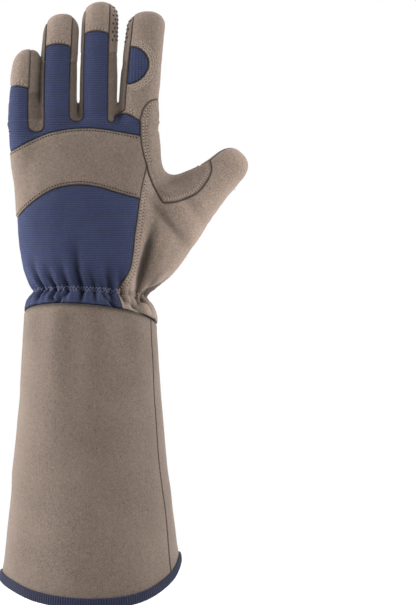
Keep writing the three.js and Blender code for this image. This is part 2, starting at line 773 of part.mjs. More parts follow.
// The palm with the fronts of the fingers, all in one piece.
function palmOutline() {
  const climb = fingers.map((finger, i) => {
    const low = [palmCrotchSpots[i - 1], palmCrotchSpots[i]].map((p) => (p ? p.y + onFinger : knuckleLine));
    const left = finger === little ? -pastFinger : -palmSeamShare;
    const right = finger === index ? pastFinger : palmSeamShare;
    return [
      ...seamUpFinger(finger, left, low[0], patchLineOf(finger)),
      ...seamUpFinger(finger, right, low[1], patchLineOf(finger)).reverse(),
    ];
  });
  const low = cuffHeight - underPalm;
  return [
    new THREE.Vector2(side.left, low),
    new THREE.Vector2(side.left, patchLineOf(little)),
    ...climb[0],
    palmCrotchSpots[0],
    ...climb[1],
    palmCrotchSpots[1],
    ...climb[2],
    palmCrotchSpots[2],
    ...climb[3],
    new THREE.Vector2(side.right, patchLineOf(index)),
    new THREE.Vector2(side.right, low),
  ];
}

// A gusset fills the whole space between two fingers' middle lines, less what the panels take.
function betweenOutline(i) {
  const [a, b] = [fingers[i], fingers[i + 1]];
  const low = Math.min(crotchSpots[i].y, palmCrotchSpots[i].y) - gussetRoot;
  return [
    ...seamUpFinger(a, 0, low, pastTips),
    ...seamUpFinger(b, 0, low, pastTips).reverse(),
  ];
}

// The line half way between two neighbouring fingers, going up. Outside the hand it is far away.
function lineBetween(a, b, low, steps = 2) {
  return Array.from({ length: steps + 1 }, (_, i) => {
    const z = lerp(low, pastTips, i / steps);
    const left = a ? fingerXAt(a, z) + a.width / 2 : -2 * palmWidth;
    const right = b ? fingerXAt(b, z) - b.width / 2 : 2 * palmWidth;
    return new THREE.Vector2((left + right) / 2, z);
  });
}
function tipPatchOutline(finger) {
  const z = patchLineOf(finger);
  const i = fingers.indexOf(finger);
  return [
    ...lineBetween(fingers[i - 1], finger, z).reverse(),
    ...lineBetween(finger, fingers[i + 1], z),
  ];
}
function thumbPatchOutline() {
  const length = thumbLine.getLength();
  const share = 1 - thumbPatchLength / length;
  const place = thumbLine.getPointAt(share);
  const ahead = thumbLine.getTangentAt(share);
  const flat = (sideShare, forward) =>
    new THREE.Vector2(
      place.x + ahead.x * forward + ahead.z * sideShare * thumbWidth,
      place.z + ahead.z * forward - ahead.x * sideShare * thumbWidth,
    );
  const [half, beyond] = [thumbPatchHalfSpan, thumbWidth * 2];
  return [flat(-half, 0), flat(half, 0), flat(half, beyond), flat(-half, beyond)];
}
function palmPatchOutline() {
  const peaks = fingers.flatMap((finger, i) => {
    const z = wristHeight + finger.peak * handLength;
    const { across, drop } = palmPatchPeak;
    const peak = [-across, 0, across].map((share) => {
      const x = fingerXAt(finger, z) + share * finger.width;
      return new THREE.Vector2(x, share ? z - drop * finger.width : z);
    });
    const dip = palmCrotchSpots[i]?.clone();
    if (dip) dip.y -= palmPatchDip * handLength;
    return dip ? [...peak, dip] : peak;
  });
  const outer = new THREE.Vector2(palmPatchEnd * palmWidth, spot(palmSlotUpper.at(-1)).y);
  return [
    ...seamCurve(palmPatchEdge, longSeamSteps),
    ...seamCurve(palmSlotLower, slotSteps.lower).slice(1),
    ...seamCurve(palmSlotUpper, slotSteps.upper),
    outer,
    new THREE.Vector2(palmPatchEnd * palmWidth, peaks.at(-1).y),
    ...peaks.reverse(),
  ];
}

// Finishes, with the colours of the photograph.
const finishes = {
  suede: { color: 0x8a7b70, roughness: 0.9 },
  gusset: { color: 0x7d6d61, roughness: 0.92 },
  knit: { color: 0x2e3a63, roughness: 0.85 },
  binding: { color: 0x2b3152, roughness: 0.85 },
  grip: { color: 0x85776c, roughness: 0.88 },
};
const materialOf = (look) => new THREE.MeshStandardMaterial({ metalness: 0, ...look });
const material = Object.fromEntries(Object.entries(finishes).map(([name, look]) => [name, materialOf(look)]));

// A piece is one body: the largest that its cuts leave.
function largestOf(solid) {
  const bodies = solid.decompose().sort((a, b) => b.volume() - a.volume());
  return geometryOf(bodies[0]);
}

const gauntlet = new THREE.Group();
gauntlet.name = "rose_pruning_gauntlet";
function addPiece(name, geometry, finish) {
  const mesh = new THREE.Mesh(geometry, material[finish]);
  mesh.name = name;
  gauntlet.add(mesh);
}

// Panels above the cuff, in the order in which they are cut: each keeps clear of those before it.
const outside = gloveForm(0);
const shells = {
  suede: outside.subtract(gloveForm(-suedeWall)),
  knit: outside.subtract(gloveForm(-knitWall)),
};
const panels = [
  { name: "index_flex_insert", cut: backCut(flexInsertOutline()), finish: "knit" },
  { name: "thumb_saddle", cut: backCut(saddleOutline()), finish: "suede" },
  { name: "index_back", cut: backCut(indexBackOutline()), finish: "suede" },
  { name: "little_fingertip", cut: backCut(capOutline(little)), finish: "suede" },
  { name: "ring_fingertip", cut: backCut(capOutline(ring)), finish: "suede" },
  { name: "middle_fingertip", cut: backCut(capOutline(middle)), finish: "suede" },
  { name: "finger_back_knit", cut: backCut(knitOutline()), finish: "knit" },
  { name: "knuckle_band", cut: backCut(bandOutline()), finish: "suede" },
  { name: "back_panel", cut: backCut(backPanelOutline()), finish: "knit" },
  { name: "thumb_back", cut: backCut(thumbBackOutline()), finish: "suede" },
  ...fingers.map((finger) => ({
    name: `${finger.name}_grip_patch`,
    cut: throughCut(tipPatchOutline(finger)),
    finish: "grip",
  })),
  { name: "thumb_grip_patch", cut: palmCut(thumbPatchOutline()), finish: "grip" },
  { name: "palm", cut: palmCut(palmOutline()), finish: "suede" },
  ...crotches.map((_, i) => ({
    name: `gusset_${fingers[i].name}_${fingers[i + 1].name}`,
    cut: throughCut(betweenOutline(i)),
    finish: "gusset",
  })),
];

let taken = null;
function cutPanel({ name, cut, finish }) {
  const shell = finish === "knit" ? shells.knit : shells.suede;
  const whole = shell.intersect(cut(0));
  const free = taken ? whole.subtract(taken) : whole;
  const claimed = cut(seamGap);
  taken = taken ? taken.add(claimed) : claimed;
  addPiece(name, largestOf(free), finish);
}
panels.forEach(cutPanel);

// The second layer that reinforces the palm, lying on top of it.
const palmLayer = gloveForm(seamGap + patchWall).subtract(gloveForm(seamGap));
const overPalm = prism(palmPatchOutline()).subtract(behind(sideSeamY, palmPatchInset));
addPiece("palm_patch", largestOf(palmLayer.intersect(overPalm)), "suede");

// The cuff: a wide cone with a wavy hem, sewn from a back and a palm panel.
const fullTurn = 360;
function hemAt(angle) {
  const at = ((THREE.MathUtils.radToDeg(angle) % fullTurn) + fullTurn) % fullTurn;
  const rows = [...hem, { ...hem[0], at: fullTurn }];
  const next = rows.findIndex((row) => row.at > at);
  const [a, b] = [rows[next - 1], rows[next]];
  return -hemDrop * THREE.MathUtils.lerp(a.drop, b.drop, THREE.MathUtils.smoothstep(at, a.at, b.at));
}
function cuffRing(share, offset, below = 0) {
  const spread = share ** cuffCurve;
  const a = lerp(cuffTopWidth, mouthWidth, spread) / 2 + offset;
  const b = lerp(cuffTopDepth, mouthDepth, spread) / 2 + offset;
  return ovalRing(new THREE.Vector3(), axis.x, axis.y, a, b, cuffSides, ellipse).map((p, i) => {
    const angle = (2 * Math.PI * i) / cuffSides;
    const top = cuffSeamAt(angle) - seamGap / 2;
    const foldStart = Math.min(1, share / cuffFoldStart);
    const foldReach = Math.max(0, 1 - (share * cuffHeight) / cuffFoldReach) * foldStart;
    const fold = cuffFolds.reduce((sum, { at, deep, wide }) => {
      const turn = turnBetween(THREE.MathUtils.radToDeg(angle), at);
      return sum + deep * Math.exp(-((turn / wide) ** 2));
    }, 0);
    const scale = 1 + (cuffFoldDepth * fold * foldReach) / p.length();
    return new THREE.Vector3(p.x * scale, p.y * scale, lerp(top, hemAt(angle), share) - below);
  });
}
const hemShares = [1 - bindingHeight / cuffHeight, 1];
const cuffShares = [0, 0.1, 0.3, 0.6, ...hemShares];
const cuffOutside = cuffShares.map((share) => cuffRing(share, 0));
const cuffInside = cuffShares.map((share) => cuffRing(share, -cuffWall));
const cuffShell = solidOf(skinRound([...cuffOutside, ...cuffInside.reverse()]));

// The side of the cuff that its back panel takes, as a fan from one side seam round to the other.
const fanShares = [0, 0.25, 0.5, 0.75, 1];
function cuffBackSide(grow) {
  const rim = fanShares.map((share) => {
    const turn = deg(lerp(littleSideSeam, thumbSideSeam + fullTurn, share));
    return new THREE.Vector2(farAway * Math.cos(turn), farAway * Math.sin(turn));
  });
  const outline = grown([new THREE.Vector2(), ...rim], grow);
  return solidOf(longExtrusion(outline).translate(0, 0, -farAway));
}
addPiece("cuff_back", largestOf(cuffShell.intersect(cuffBackSide(-seamGap / 2))), "suede");
addPiece("cuff_palm", largestOf(cuffShell.subtract(cuffBackSide(seamGap / 2))), "suede");

// The binding: a folded strip round the hem. Each row is a corner of its fold, the wall's outside first.
const overHem = seamGap + bindingWall;
const bindingFold = [
  { share: hemShares[0], out: overHem, below: 0 },
  { share: 1, out: overHem, below: overHem },
  { share: 1, out: -cuffWall - overHem, below: overHem },
  { share: hemShares[0], out: -cuffWall - overHem, below: 0 },
  { share: hemShares[0], out: -cuffWall - seamGap, below: 0 },
  { share: 1, out: -cuffWall - seamGap, below: seamGap },
  { share: 1, out: seamGap, below: seamGap },
  { share: hemShares[0], out: seamGap, below: 0 },
];
const foldRings = bindingFold.map(({ share, out, below }) => cuffRing(share, out, below));
addPiece("hem_binding", skinRound(foldRings), "binding");

export default gauntlet;
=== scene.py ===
"""A rose pruning gauntlet for a left hand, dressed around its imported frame.

One smooth glove skin is worked out from named sizes, cut along its seams into panels,
and finished with rolled seam edges, gathers, folds, stitches and grip dots.
Lengths in the tables are millimetres; everything that reaches Blender is in metres.
"""

import math

import bmesh
import bpy
import numpy as np
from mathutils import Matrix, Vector
from mathutils.bvhtree import BVHTree
from mathutils.kdtree import KDTree


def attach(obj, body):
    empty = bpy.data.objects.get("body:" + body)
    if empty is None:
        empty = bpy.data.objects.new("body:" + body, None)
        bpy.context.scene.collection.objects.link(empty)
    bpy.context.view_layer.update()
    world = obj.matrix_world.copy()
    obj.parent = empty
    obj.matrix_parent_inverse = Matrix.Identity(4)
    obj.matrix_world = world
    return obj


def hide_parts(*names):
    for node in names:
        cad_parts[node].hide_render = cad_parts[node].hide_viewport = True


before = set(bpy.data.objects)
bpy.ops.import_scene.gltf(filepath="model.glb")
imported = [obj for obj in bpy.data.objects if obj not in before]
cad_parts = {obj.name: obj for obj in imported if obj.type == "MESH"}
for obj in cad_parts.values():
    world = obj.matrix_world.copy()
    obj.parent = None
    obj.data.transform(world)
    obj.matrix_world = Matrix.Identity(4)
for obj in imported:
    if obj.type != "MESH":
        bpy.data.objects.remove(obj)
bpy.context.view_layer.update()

bl_info = {
    "name": "Rose pruning gauntlet",
    "version": (1, 0, 0),
    "blender": (4, 5, 0),
    "location": "View3D > Sidebar > Gauntlet",
    "description": "Sewn suede and knit panels, gathers, stitches and grip dots of a pruning gauntlet",
    "category": "Object",
}

MM = 0.001

# The photograph's frame, in pixels, and the place of the glove in it.
IMAGE = {"width": 416, "height": 605, "middle_x": 90.5, "mouth_y": 565, "mm": 0.7}
LENS = 400
SENSOR = 36

# The cuff.
MOUTH = (125, 104)
CUFF_TOP = (93, 72)
CUFF_HEIGHT = 173
CUFF_CURVE = 1.42
HEM_DROP = 27
THUMB_SIDE_SEAM = -24
LITTLE_SIDE_SEAM = 142
CUFF_WALL = 1.6

# The gathered wrist and the hand above it.
WRIST = (77, 48)
WRIST_HEIGHT = 188.5
WRIST_TILT, WRIST_SLANT = 4.5, 2.2
CUFF_SEAM_TILT, CUFF_SEAM_SLANT = 9.5, 4.3
PALM = (104, 46)
HALF = PALM[0] / 2
HAND_LENGTH = 127.7
KNUCKLE_ARCH = 10
FINGER_BEND = 12
LITTLE_SEAM_SHIFT = 5
SEAM_GAP = 0.3

# The thumb.
THUMB_REACH, THUMB_RISE = 107, 106.7
THUMB = (39, 34)
THUMB_TIP_ROUND = 15.5
THUMB_SPLAY = 0.25
THUMB_FORWARD = 2
THUMB_PATCH_LENGTH, THUMB_PATCH_HALF = 29, 0.7

# Fingers. Root, pull and tip are shares of half the palm's width; seams are shares of a finger's half width.
# Grow widens the left and the right side, where the skins of two fingers have to meet.
FINGERS = {
    "little": dict(root=-0.83, pull=-0.97, tip=-0.83, length=45, width=20.4, depth=19, round=14,
                   grow=(0, 0.65), cap=27.5, patch=31, seams=(-1.6, 0.3), peak=1.03),
    "ring": dict(root=-0.405, pull=-0.47, tip=-0.38, length=70, width=25.2, depth=21, round=15,
                 grow=(0.65, 0), cap=23.5, patch=34, seams=(-0.8, 0.62), peak=1),
    "middle": dict(root=0.115, pull=0.082, tip=0.138, length=78.6, width=25.6, depth=21.5, round=12.5,
                   cap=23, patch=36, seams=(-0.82, 0.52), peak=0.99),
    "index": dict(root=0.625, pull=0.63, tip=0.775, length=71.6, width=27.4, depth=21, round=12,
                  cap=0, patch=36, seams=(-0.69, 1.6), peak=0.965),
}
NAMES = list(FINGERS)
CROTCHES = [(-0.734, 0.895, 0.915), (-0.236, 0.955, 0.919), (0.33, 0.947, 0.886)]
PALM_SEAM_SHARE = 0.84
ON_FINGER = 4
# A finger's girth from its root to its dome: share of the way, width and depth as shares of the finger's.
FINGER_GIRTH = [(0, 0.97, 1.12), (0.35, 1.0, 1.1), (0.68, 0.99, 1.0), (1, 0.95, 0.96)]
ROUNDNESS = 2.25

# Rows of the hand: how far up it, width and depth as shares of the palm's, sideways shift as a share.
HAND_ROWS = [
    (0, 0.74, 1.043, 0), (0.03, 0.775, 1.03, -0.01), (0.1, 0.812, 1.08, -0.029),
    (0.2, 0.862, 1.13, -0.034), (0.35, 0.915, 1.1, -0.029), (0.55, 0.95, 1, -0.028),
    (0.73, 0.985, 0.86, -0.029), (0.84, 0.996, 0.72, -0.034), (0.905, 0.985, 0.56, -0.036),
    (0.943, 0.955, 0.38, -0.036), (0.958, 0.9, 0.16, -0.036), (0.97, 0.88, 0.05, -0.036),
]
HAND_TOP, HAND_TOP_SLOPE = 0.962, 6
FLOUNCE_FLARE = [(0, 0), (0.2, 0.38), (0.45, 0.72), (0.75, 0.92), (1, 1), (1.4, 1.02)]

# Rows of the thumb and of the web beside it: across and up as shares of its reach and rise, then its size.
THUMB_ROWS = [
    (0.242, 0.112, 1.02, 1), (0.36, 0.285, 1.2, 1.02), (0.547, 0.529, 1.18, 0.92), (0.716, 0.675, 0.87, 0.8),
    (0.893, 0.834, 0.62, 0.66),
]
THUMB_TIP = (0.994, 0.94)
WEB_ROWS = [(0.38, 0.72, 0.36, 0.5), (0.505, 0.615, 0.33, 0.46), (0.66, 0.615, 0.3, 0.42)]
WEB_END_ROUND = 6

# Boxes that hold the skin's lattice and the forms joined in it, and how wide their hollows are filled.
SKIN_BOX = ((-66, -44, 158), (122, 48, 406))
HAND_BOX = ((-66, -44, 158), (66, 48, 324))
THUMB_BOX = ((10, -32, 178), (122, 46, 312))
WEB_BOX = ((24, -26, 224), (84, 40, 290))
FINGER_FRONT, FINGER_BACK = -30, 46
FINGER_MARGIN, FINGER_FOOT, FINGER_HEAD = 9, 12, 5
FINGER_ROOT_ROUND, ARCH_MIDDLE, LEAST_DROP = 0.15, 0.1, 0.4
KNUCKLE_BLEND, THUMB_BLEND = 5, 9
CROTCH_DEPTH, CROTCH_FADE = 8, 9

# Pleats drawn in by the elastic: angle round the wrist, depth in millimetres, reach up the hand, half width.
# Their valleys on the hand get painted shade.
PLEATS = [
    (193, 2.6, 16, 4), (205, 1.6, 12, 3), (217, 4.2, 24, 3.2), (226, 1.8, 12, 3), (234, 4, 19, 3),
    (241, 1.6, 10, 2.8), (248, 4, 22, 3), (255, 1.6, 10, 2.6), (262, 6, 36, 3), (269, 1.6, 10, 2.6),
    (275, 3.8, 18, 2.8), (283, 2.2, 12, 2.8), (291, 4.4, 22, 3.2), (303, 3.8, 19, 3.2), (312, 1.6, 12, 3.2),
    (322, 2, 24, 4.6), (338, 3.6, 38, 5.5), (352, 2, 18, 4.2), (8, 2.2, 16, 4.2), (22, 2.6, 24, 4.6),
    (37, 2.8, 28, 4.6), (52, 3, 32, 4.6), (66, 2.8, 34, 4.4), (80, 3.2, 38, 4.6), (95, 3, 40, 4.6),
    (109, 3, 38, 4.4), (123, 2.8, 32, 4.4), (138, 2.6, 26, 4.4), (153, 2.2, 20, 4.2), (168, 2, 16, 4),
    (181, 1.8, 14, 4),
]

# The hem: angle and drop below the mouth's plane as a share of the whole drop.
HEM = [
    (0, -0.15), (30, -0.04), (60, 0.1), (90, 0.24), (120, 0.35), (150, 0.36), (180, 0.3), (205, 0.5),
    (235, 0.84), (270, 1), (305, 0.84), (335, 0.34), (360, -0.15),
]
# Soft folds of the cuff: angle, depth, half width in degrees, how far down they reach.
CUFF_FOLDS = [
    (238, 1.5, 10, 90), (256, -1.2, 9, 70), (276, 1.1, 11, 110), (300, -0.8, 13, 80), (318, 0.8, 10, 60),
    (205, 0.7, 14, 100), (60, 0.8, 16, 80), (110, 0.9, 16, 90), (20, -0.6, 14, 60), (165, -0.7, 13, 70),
]
CUFF_FOLD_FADE, CUFF_FOLD_FROM = 1.3, 9
# The cuff's unevenness, as amount, size and seed, and how far from its top and hem it starts.
CUFF_UNEVEN = [(1.3, 38, 21), (0.35, 13, 22)]
CUFF_UNEVEN_FROM = (20, 14)
# The cuff's rolled edges at its side seams and its top: how far they reach in, how deep they sink.
CUFF_SIDE_ROLL, CUFF_TOP_ROLL = (1.6, 1.1), (2.8, 1.5)
# How far the cuff darkens in from its side seams and its top: painted shade in the rolled edges, and under
# the flounce at the top.
CUFF_SIDE_SHADE, CUFF_TOP_SHADE = 0.9, 1.6
# Places of the cuff's points: in from a side seam, down from the top, then even steps round and down.
CUFF_SIDE_STEPS = [0, 0.2, 0.5, 0.9, 1.4, 2.0]
CUFF_TOP_STEPS = [0, 0.3, 0.7, 1.2, 1.9, 2.8, 4]
CUFF_SEAM_EDGE = 0.14
CUFF_TURN_STEP, CUFF_TURN_MARGIN = 1.15, 3.4
CUFF_ROWS, CUFF_ROWS_FROM = 110, 0.032

# Seam lines in the front view: across as a share of half the palm, up as a share of the hand's length.
BAND_TOP = [
    (-1.3, 0.74), (-0.976, 0.81), (-0.707, 0.865), (-0.491, 0.895), (-0.188, 0.914), (0.074, 0.914),
    (0.33, 0.9), (0.74, 0.87),
]
BAND_BOTTOM = [
    (-1.3, 0.29), (-0.976, 0.431), (-0.875, 0.473), (-0.707, 0.53), (-0.532, 0.574), (-0.357, 0.598),
    (-0.114, 0.607), (0.155, 0.59), (0.411, 0.558), (0.666, 0.53),
]
THUMB_SIDE = [
    (0.673, 0.963), (0.68, 0.848), (0.715, 0.771), (0.755, 0.713), (0.72, 0.645), (0.666, 0.53),
    (0.639, 0.437), (0.599, 0.327), (0.572, 0.223), (0.532, 0.141), (0.424, 0.064), (0.378, 0.02),
    (0.451, -0.084),
]
SADDLE_TOP = [
    (1.3, 1.09), (1.003, 1.084), (0.93, 1.075), (0.855, 1.073), (0.774, 1.056), (0.707, 1.015),
    (0.673, 0.963),
]
SADDLE_BOTTOM = [(0.755, 0.713), (0.787, 0.662), (0.855, 0.596), (0.976, 0.508)]
SADDLE_THUMB = [
    (0.976, 0.508), (1.111, 0.508), (1.272, 0.53), (1.434, 0.563), (1.555, 0.621), (1.622, 0.678),
    (1.609, 0.74), (1.5, 0.9),
]
INDEX_BASE = [(0.33, 0.985), (0.491, 0.996), (0.673, 0.955)]
FLEX = dict(up=0.469, tall=26.5, wide=14.3)
PATCH_EDGE = [
    (-0.965, 0.94), (-0.96, 0.84), (-0.935, 0.7), (-0.86, 0.56), (-0.68, 0.4), (-0.4, 0.28), (0, 0.235),
    (0.35, 0.3), (0.6, 0.43), (0.7, 0.56), (0.635, 0.63),
]
SLOT_LOWER = [(0.635, 0.63), (0.44, 0.672), (0.18, 0.7), (-0.27, 0.722)]
SLOT_UPPER = [(-0.27, 0.748), (-0.02, 0.752), (0.18, 0.735), (0.44, 0.704), (0.8, 0.69)]
PATCH_DIP, PATCH_INSET, PATCH_END = 0.035, 3, 0.44
PEAK_WIDTH, PEAK_DROP = 0.36, 0.22
# Outlines: points each side of a cap's middle, its rise, steps of a half circle, and margins past the seams.
CAP_MIDDLE, CAP_RISE, ARC_STEPS = 6, 0.09, 12
BASE_DROP, BELOW_SEAMS, GUSSET_FOOT = 30, 60, 12

# How pleats widen and fade up the hand and down the flounce, and what they take off the girth together.
PLEAT_SPREAD, PLEAT_REACH, PLEAT_POWER = 0.9, 1.25, 1.35
PLEAT_FADE_BELOW, PLEAT_FADE_FROM = 0.8, 0.1
MEAN_PLEAT, MEAN_PLEAT_REACH, MEAN_PLEAT_FADE = 1.1, 30, 0.9
GATHER_FADE = 20
# The elastic's puckers: widths of its line and of the cloth that they reach, their number and sway.
FLOUNCE_LENGTH = 14
ELASTIC_LINE, ELASTIC_REACH = 1.5, 5
PUCKERS, PUCKER_SWAY, PUCKER_SWAYS = 74, 2.2, 13
PUCKER_LINE, PUCKER_DEPTH, PUCKER_BESIDE = 0.9, 0.7, 0.45
# Painted shade down the line between the little and ring fingers, which touch: depth, half width, how far up
# it sets in; it only darkens the colour.
TOUCH_PAINTED_SHADE = (3.2, 2.6, 14)
# The cloth's unevenness, as amount, size and seed, and the share of it that the fingers lose.
UNEVEN = [(0.5, 17, 3), (0.22, 7, 5), (0.1, 3.4, 8)]
FINGERS_EVEN = 0.5
# Painted shade in the valleys of pleats and folds and between the touching fingers: the depth at which it is
# full, and how strongly it darkens the colour.
VALLEY_SHADE_DEPTH = 3.8
VALLEY_SHADE = 0.88

# Dents and ridges of the cloth in the front view: across, up, half sizes along and across, turn, depth, side.
# Where they sink, they also get painted shade.
FOLDS = [
    (38.8, 211, 21, 4.2, 78, 7.5, "back"), (48.5, 211, 18, 4.4, 70, -1.8, "back"),
    (43, 190.5, 10, 2.2, 42, 4.2, "back"), (55, 240, 21, 4.6, -52, 2.2, "back"),
    (63, 247, 19, 5, -52, -1.3, "back"), (71, 252, 14, 4, -52, 0.8, "back"),
    (58, 268, 11, 4, 20, 1.2, "back"), (8, 262, 34, 9, 3, 0.7, "palm"),
    (24, 240, 26, 6, 55, 1.8, "palm"), (44, 232, 24, 6, 62, 1.6, "palm"),
    (-20, 236, 24, 7, -70, 1.2, "palm"), (70, 258, 12, 4, -45, 1.3, "palm"),
    (48, 187.5, 12, 4.2, 0, 3.6, "both"), (-21.5, 185.5, 5, 1.5, 62, 3.2, "back"),
    (-24.5, 185, 5, 1.4, -50, 2.2, "back"), (15.5, 183.5, 8, 1.4, -48, 2.6, "back"),
    (33, 180, 11, 2, -42, 2.6, "back"), (41, 178, 9, 2.2, -50, -1.2, "back"),
]
FACING = {"back": lambda y: y < 0.25, "palm": lambda y: y > -0.25, "both": lambda y: y < 2}

# Panels: material slot, how far it stands up, and its stitch rows as neighbours, distances in, kind.
BACK_ROWS = ("index_back", "finger_back_knit", "knuckle_band")
PALM_SEAMS = [(("palm",), (1.6, 3.4), "run")]
PALM_SEAM = [(("palm",), (1.6,), "run")]
KNIT_SEAM = [(("finger_back_knit",), (1.7,), "run")]
PANELS = {
    "index_flex_insert": ("flex_knit", 0, []),
    "thumb_saddle": ("saddle_suede", 0.5, [(BACK_ROWS, (1.9, 4.2), "run"),
                                           (("thumb_back",), (2.5,), "ladder")]),
    "index_back": ("index_suede", 0.3, [(("index_flex_insert",), (1.5, 3.2, 4.9), "zigzag"),
                                        (("finger_back_knit",), (1.8, 3.6), "run")]),
    "little_fingertip": ("fingertip_suede", 0.35, [(("finger_back_knit",), (1.7, 3.6), "run")]),
    "ring_fingertip": ("fingertip_suede", 0.35, KNIT_SEAM),
    "middle_fingertip": ("fingertip_suede", 0.35, KNIT_SEAM),
    "finger_back_knit": ("back_knit", 0, []),
    "knuckle_band": ("band_suede", 0.45, [(("finger_back_knit", "back_panel"), (1.9,), "dash")]),
    "back_panel": ("back_knit", 0, []),
    "thumb_back": ("thumb_suede", 0.15, [(("back_panel", "knuckle_band"), (1.9, 4.2), "run")]),
    "little_grip_patch": ("grip_suede", 0.25, PALM_SEAMS),
    "ring_grip_patch": ("grip_suede", 0.25, PALM_SEAMS),
    "middle_grip_patch": ("dotted_suede", 0.25, PALM_SEAM),
    "index_grip_patch": ("dotted_suede", 0.25, PALM_SEAM),
    "thumb_grip_patch": ("dotted_suede", 0.25, PALM_SEAM),
    "palm": ("palm_suede", 0.1, [(("thumb_saddle", "thumb_back"), (1.9,), "run")]),
    "gusset_little_ring": ("gusset_suede", 0, []),
    "gusset_ring_middle": ("gusset_suede", 0, []),
    "gusset_middle_index": ("gusset_suede", 0, []),
}
PATCH_ROWS = [((), (1.9, 4.4), "run")]
PATCH_LIFT = 2.0

# Cloths: wall, reach and depth of the rolled edge, and how far the cloth swells inside it.
CLOTHS = {
    "suede": dict(wall=1.8, radius=1.5, depth=1.0, puff=0.3),
    "knit": dict(wall=1.5, radius=1.4, depth=1.1, puff=0.25),
    "patch": dict(wall=1.45, radius=1.2, depth=0.95, puff=0.15),
}
# A rolled edge: its lines of points as shares of its reach, its roundness, and where cloth swells beyond it.
ROLL_LINES = (0.12, 0.35, 0.65, 1.0, 1.6)
ROLL_ROUND = 0.98
PUFF_FROM, PUFF_REACH = 0.6, 7
GROOVE_DEPTH, GROOVE_WIDTH = 0.28, 0.75
RIM_SMOOTH, RIM_STEP = 0.3, 0.14
# How far in from a seam the colour darkens: a dark seam line and painted shade in its groove.
SEAM_SHADE_WIDTH = 0.68
# Seams between gussets and tip patches sink less and get less painted shade: share of the depth, painted
# shade if level or not.
LEVEL_DEPTH = 0.15
LEVEL_SHADES = {True: 0.06, False: 0.45}
# The weave's lengths: steps round the hand, and how far below the knuckles they turn to the fingers' own.
WEAVE_STEPS, WEAVE_TOP, WEAVE_TURN = 721, 10, (22, 4)
# Settling the skin on its form: rounds, how far points relax in them and after them, and the least slope.
SKIN_ROUNDS, SKIN_RELAX, SKIN_SMOOTH, LEAST_SLOPE = 3, 0.35, 0.4, 0.25
# How closely points count as one, near a line, or across a seam; the fewest points of a stitched line.
WELD_REACH, LEAST_STEP = 0.16, 1e-3
RIM_REACH, RIM_NEIGHBOURS, RIM_SHARES = 0.6, 14, (0, 0.33, 0.67)
LEAST_CHAIN, LEAST_LINE = 7, 8

# How light each suede looks beside the palm's. These are partly painted light: the thumb, index, saddle and
# fingertips are made lighter, and the cuff darker, for how the light falls on them.
SUEDE_PAINTED_LIGHT_TONES = {"saddle": 1.18, "index": 1.2, "fingertip": 1.28, "band": 1.0, "thumb": 1.56, "grip": 1.02,
               "dotted": 1.0, "palm": 1.02, "cuff": 0.89}

# Stitches: degrees that they lean by turns; the ladder starts this far towards the thumb.
STITCH_TURN = {"run": 0, "dash": 0, "zigzag": 48, "ladder": 78}
LADDER_FROM = 51
DASH_PITCH, DASH_LENGTH = 0.9, 0.8
ZIGZAG_PITCH, ZIGZAG_LENGTH = 1.5, 0.0022
LADDER_PITCH, LADDER_LENGTH = 1.8, 0.0038
THREAD_FLATNESS, HOLE_DEPTH, BEAD_RINGS = 0.8, 0.45, 4

# The elastic's thread: zigzags round the wrist, beads of each, rise, its two runs, a bead's size in metres.
ELASTIC_ZIGZAGS, ELASTIC_STEPS, ELASTIC_RISE = 54, 9, 1.7
ELASTIC_RUNS = (0, 0.42)
ELASTIC_BEAD = (0.0013, 0.0006, 0.0006)
ELASTIC_STAND = 0.2

# Grip dots: the side of each finger that has them, from what height, and how far from a patch's seams.
DOTTED_SIDES = {"index": -1, "middle": 1}
SIDE_DOTS_FROM = 365
SIDE_DOTS_REACH = 0.4
DOT_INSET, DOT_ROW_STEP, DOT_HEIGHT = 2.2, 0.86, 0.5
THUMB_DOTS_FACING, FINGER_DOTS_FACING = 0.45, -1
THUMB_DOTS_ACROSS, THUMB_DOTS_UP = (-34, 8), (-34, 18)
RAY_LENGTH = 40

# The binding's section: height above the hem, distance out from the cuff's outside, drop below the hem.
BINDING_SECTION = [
    (4.6, 0.15, 0), (4.9, 0.7, 0), (4.6, 1.15, 0), (3.9, 1.4, 0), (2.6, 1.5, 0), (1.2, 1.5, 0),
    (0, 1.4, 0.3), (0, 1.1, 1.1), (0, 0.4, 1.6), (0, -0.8, 1.75), (0, -2.0, 1.6), (0, -2.75, 1.1),
    (0, -3.1, 0.3), (1.2, -3.2, 0), (2.6, -3.2, 0), (3.9, -3.1, 0), (4.6, -2.85, 0), (4.9, -2.35, 0),
    (4.6, -1.75, 0), (2.4, -1.75, 0), (0, -1.75, 0.15), (0, 0.12, 0.15), (2.4, 0.12, 0),
]
# Rows of the section that show ribs, the last outer one, and the fold's; the ribs' heights, steps for each.
BINDING_SHOWN, BINDING_OUTER, BINDING_FOLD = (2, 16), 9, (7, 11)
RIB_HEIGHT, RIB_DROP, RIB_STEPS = 0.16, 0.14, 6

# Light: the sky's strength, then soft lamps as place in metres, width and power, and where they aim.
SKY_LIGHT = 0.25
LAMPS = {
    "left": ((-1.3, -0.05, 0.5), 0.8, 28),
    "right": ((1.3, 0.05, 0.5), 0.8, 14),
    "front": ((0.1, -2.4, 0.7), 1.5, 5.5),
    "tips": ((0.32, -0.4, 0.66), 0.4, 1.0),
    "above": ((0.1, 0.2, 2.0), 1.5, 16),
    "behind": ((0.2, 2.2, 0.5), 1.5, 16),
}
LAMP_AIM = Vector((0.02, 0, 0.19))
FLOOR_HEIGHT, FLOOR_REACH = -35.5, 1200
FLOOR_SECTORS, FLOOR_ROUGHNESS = 72, 0.95


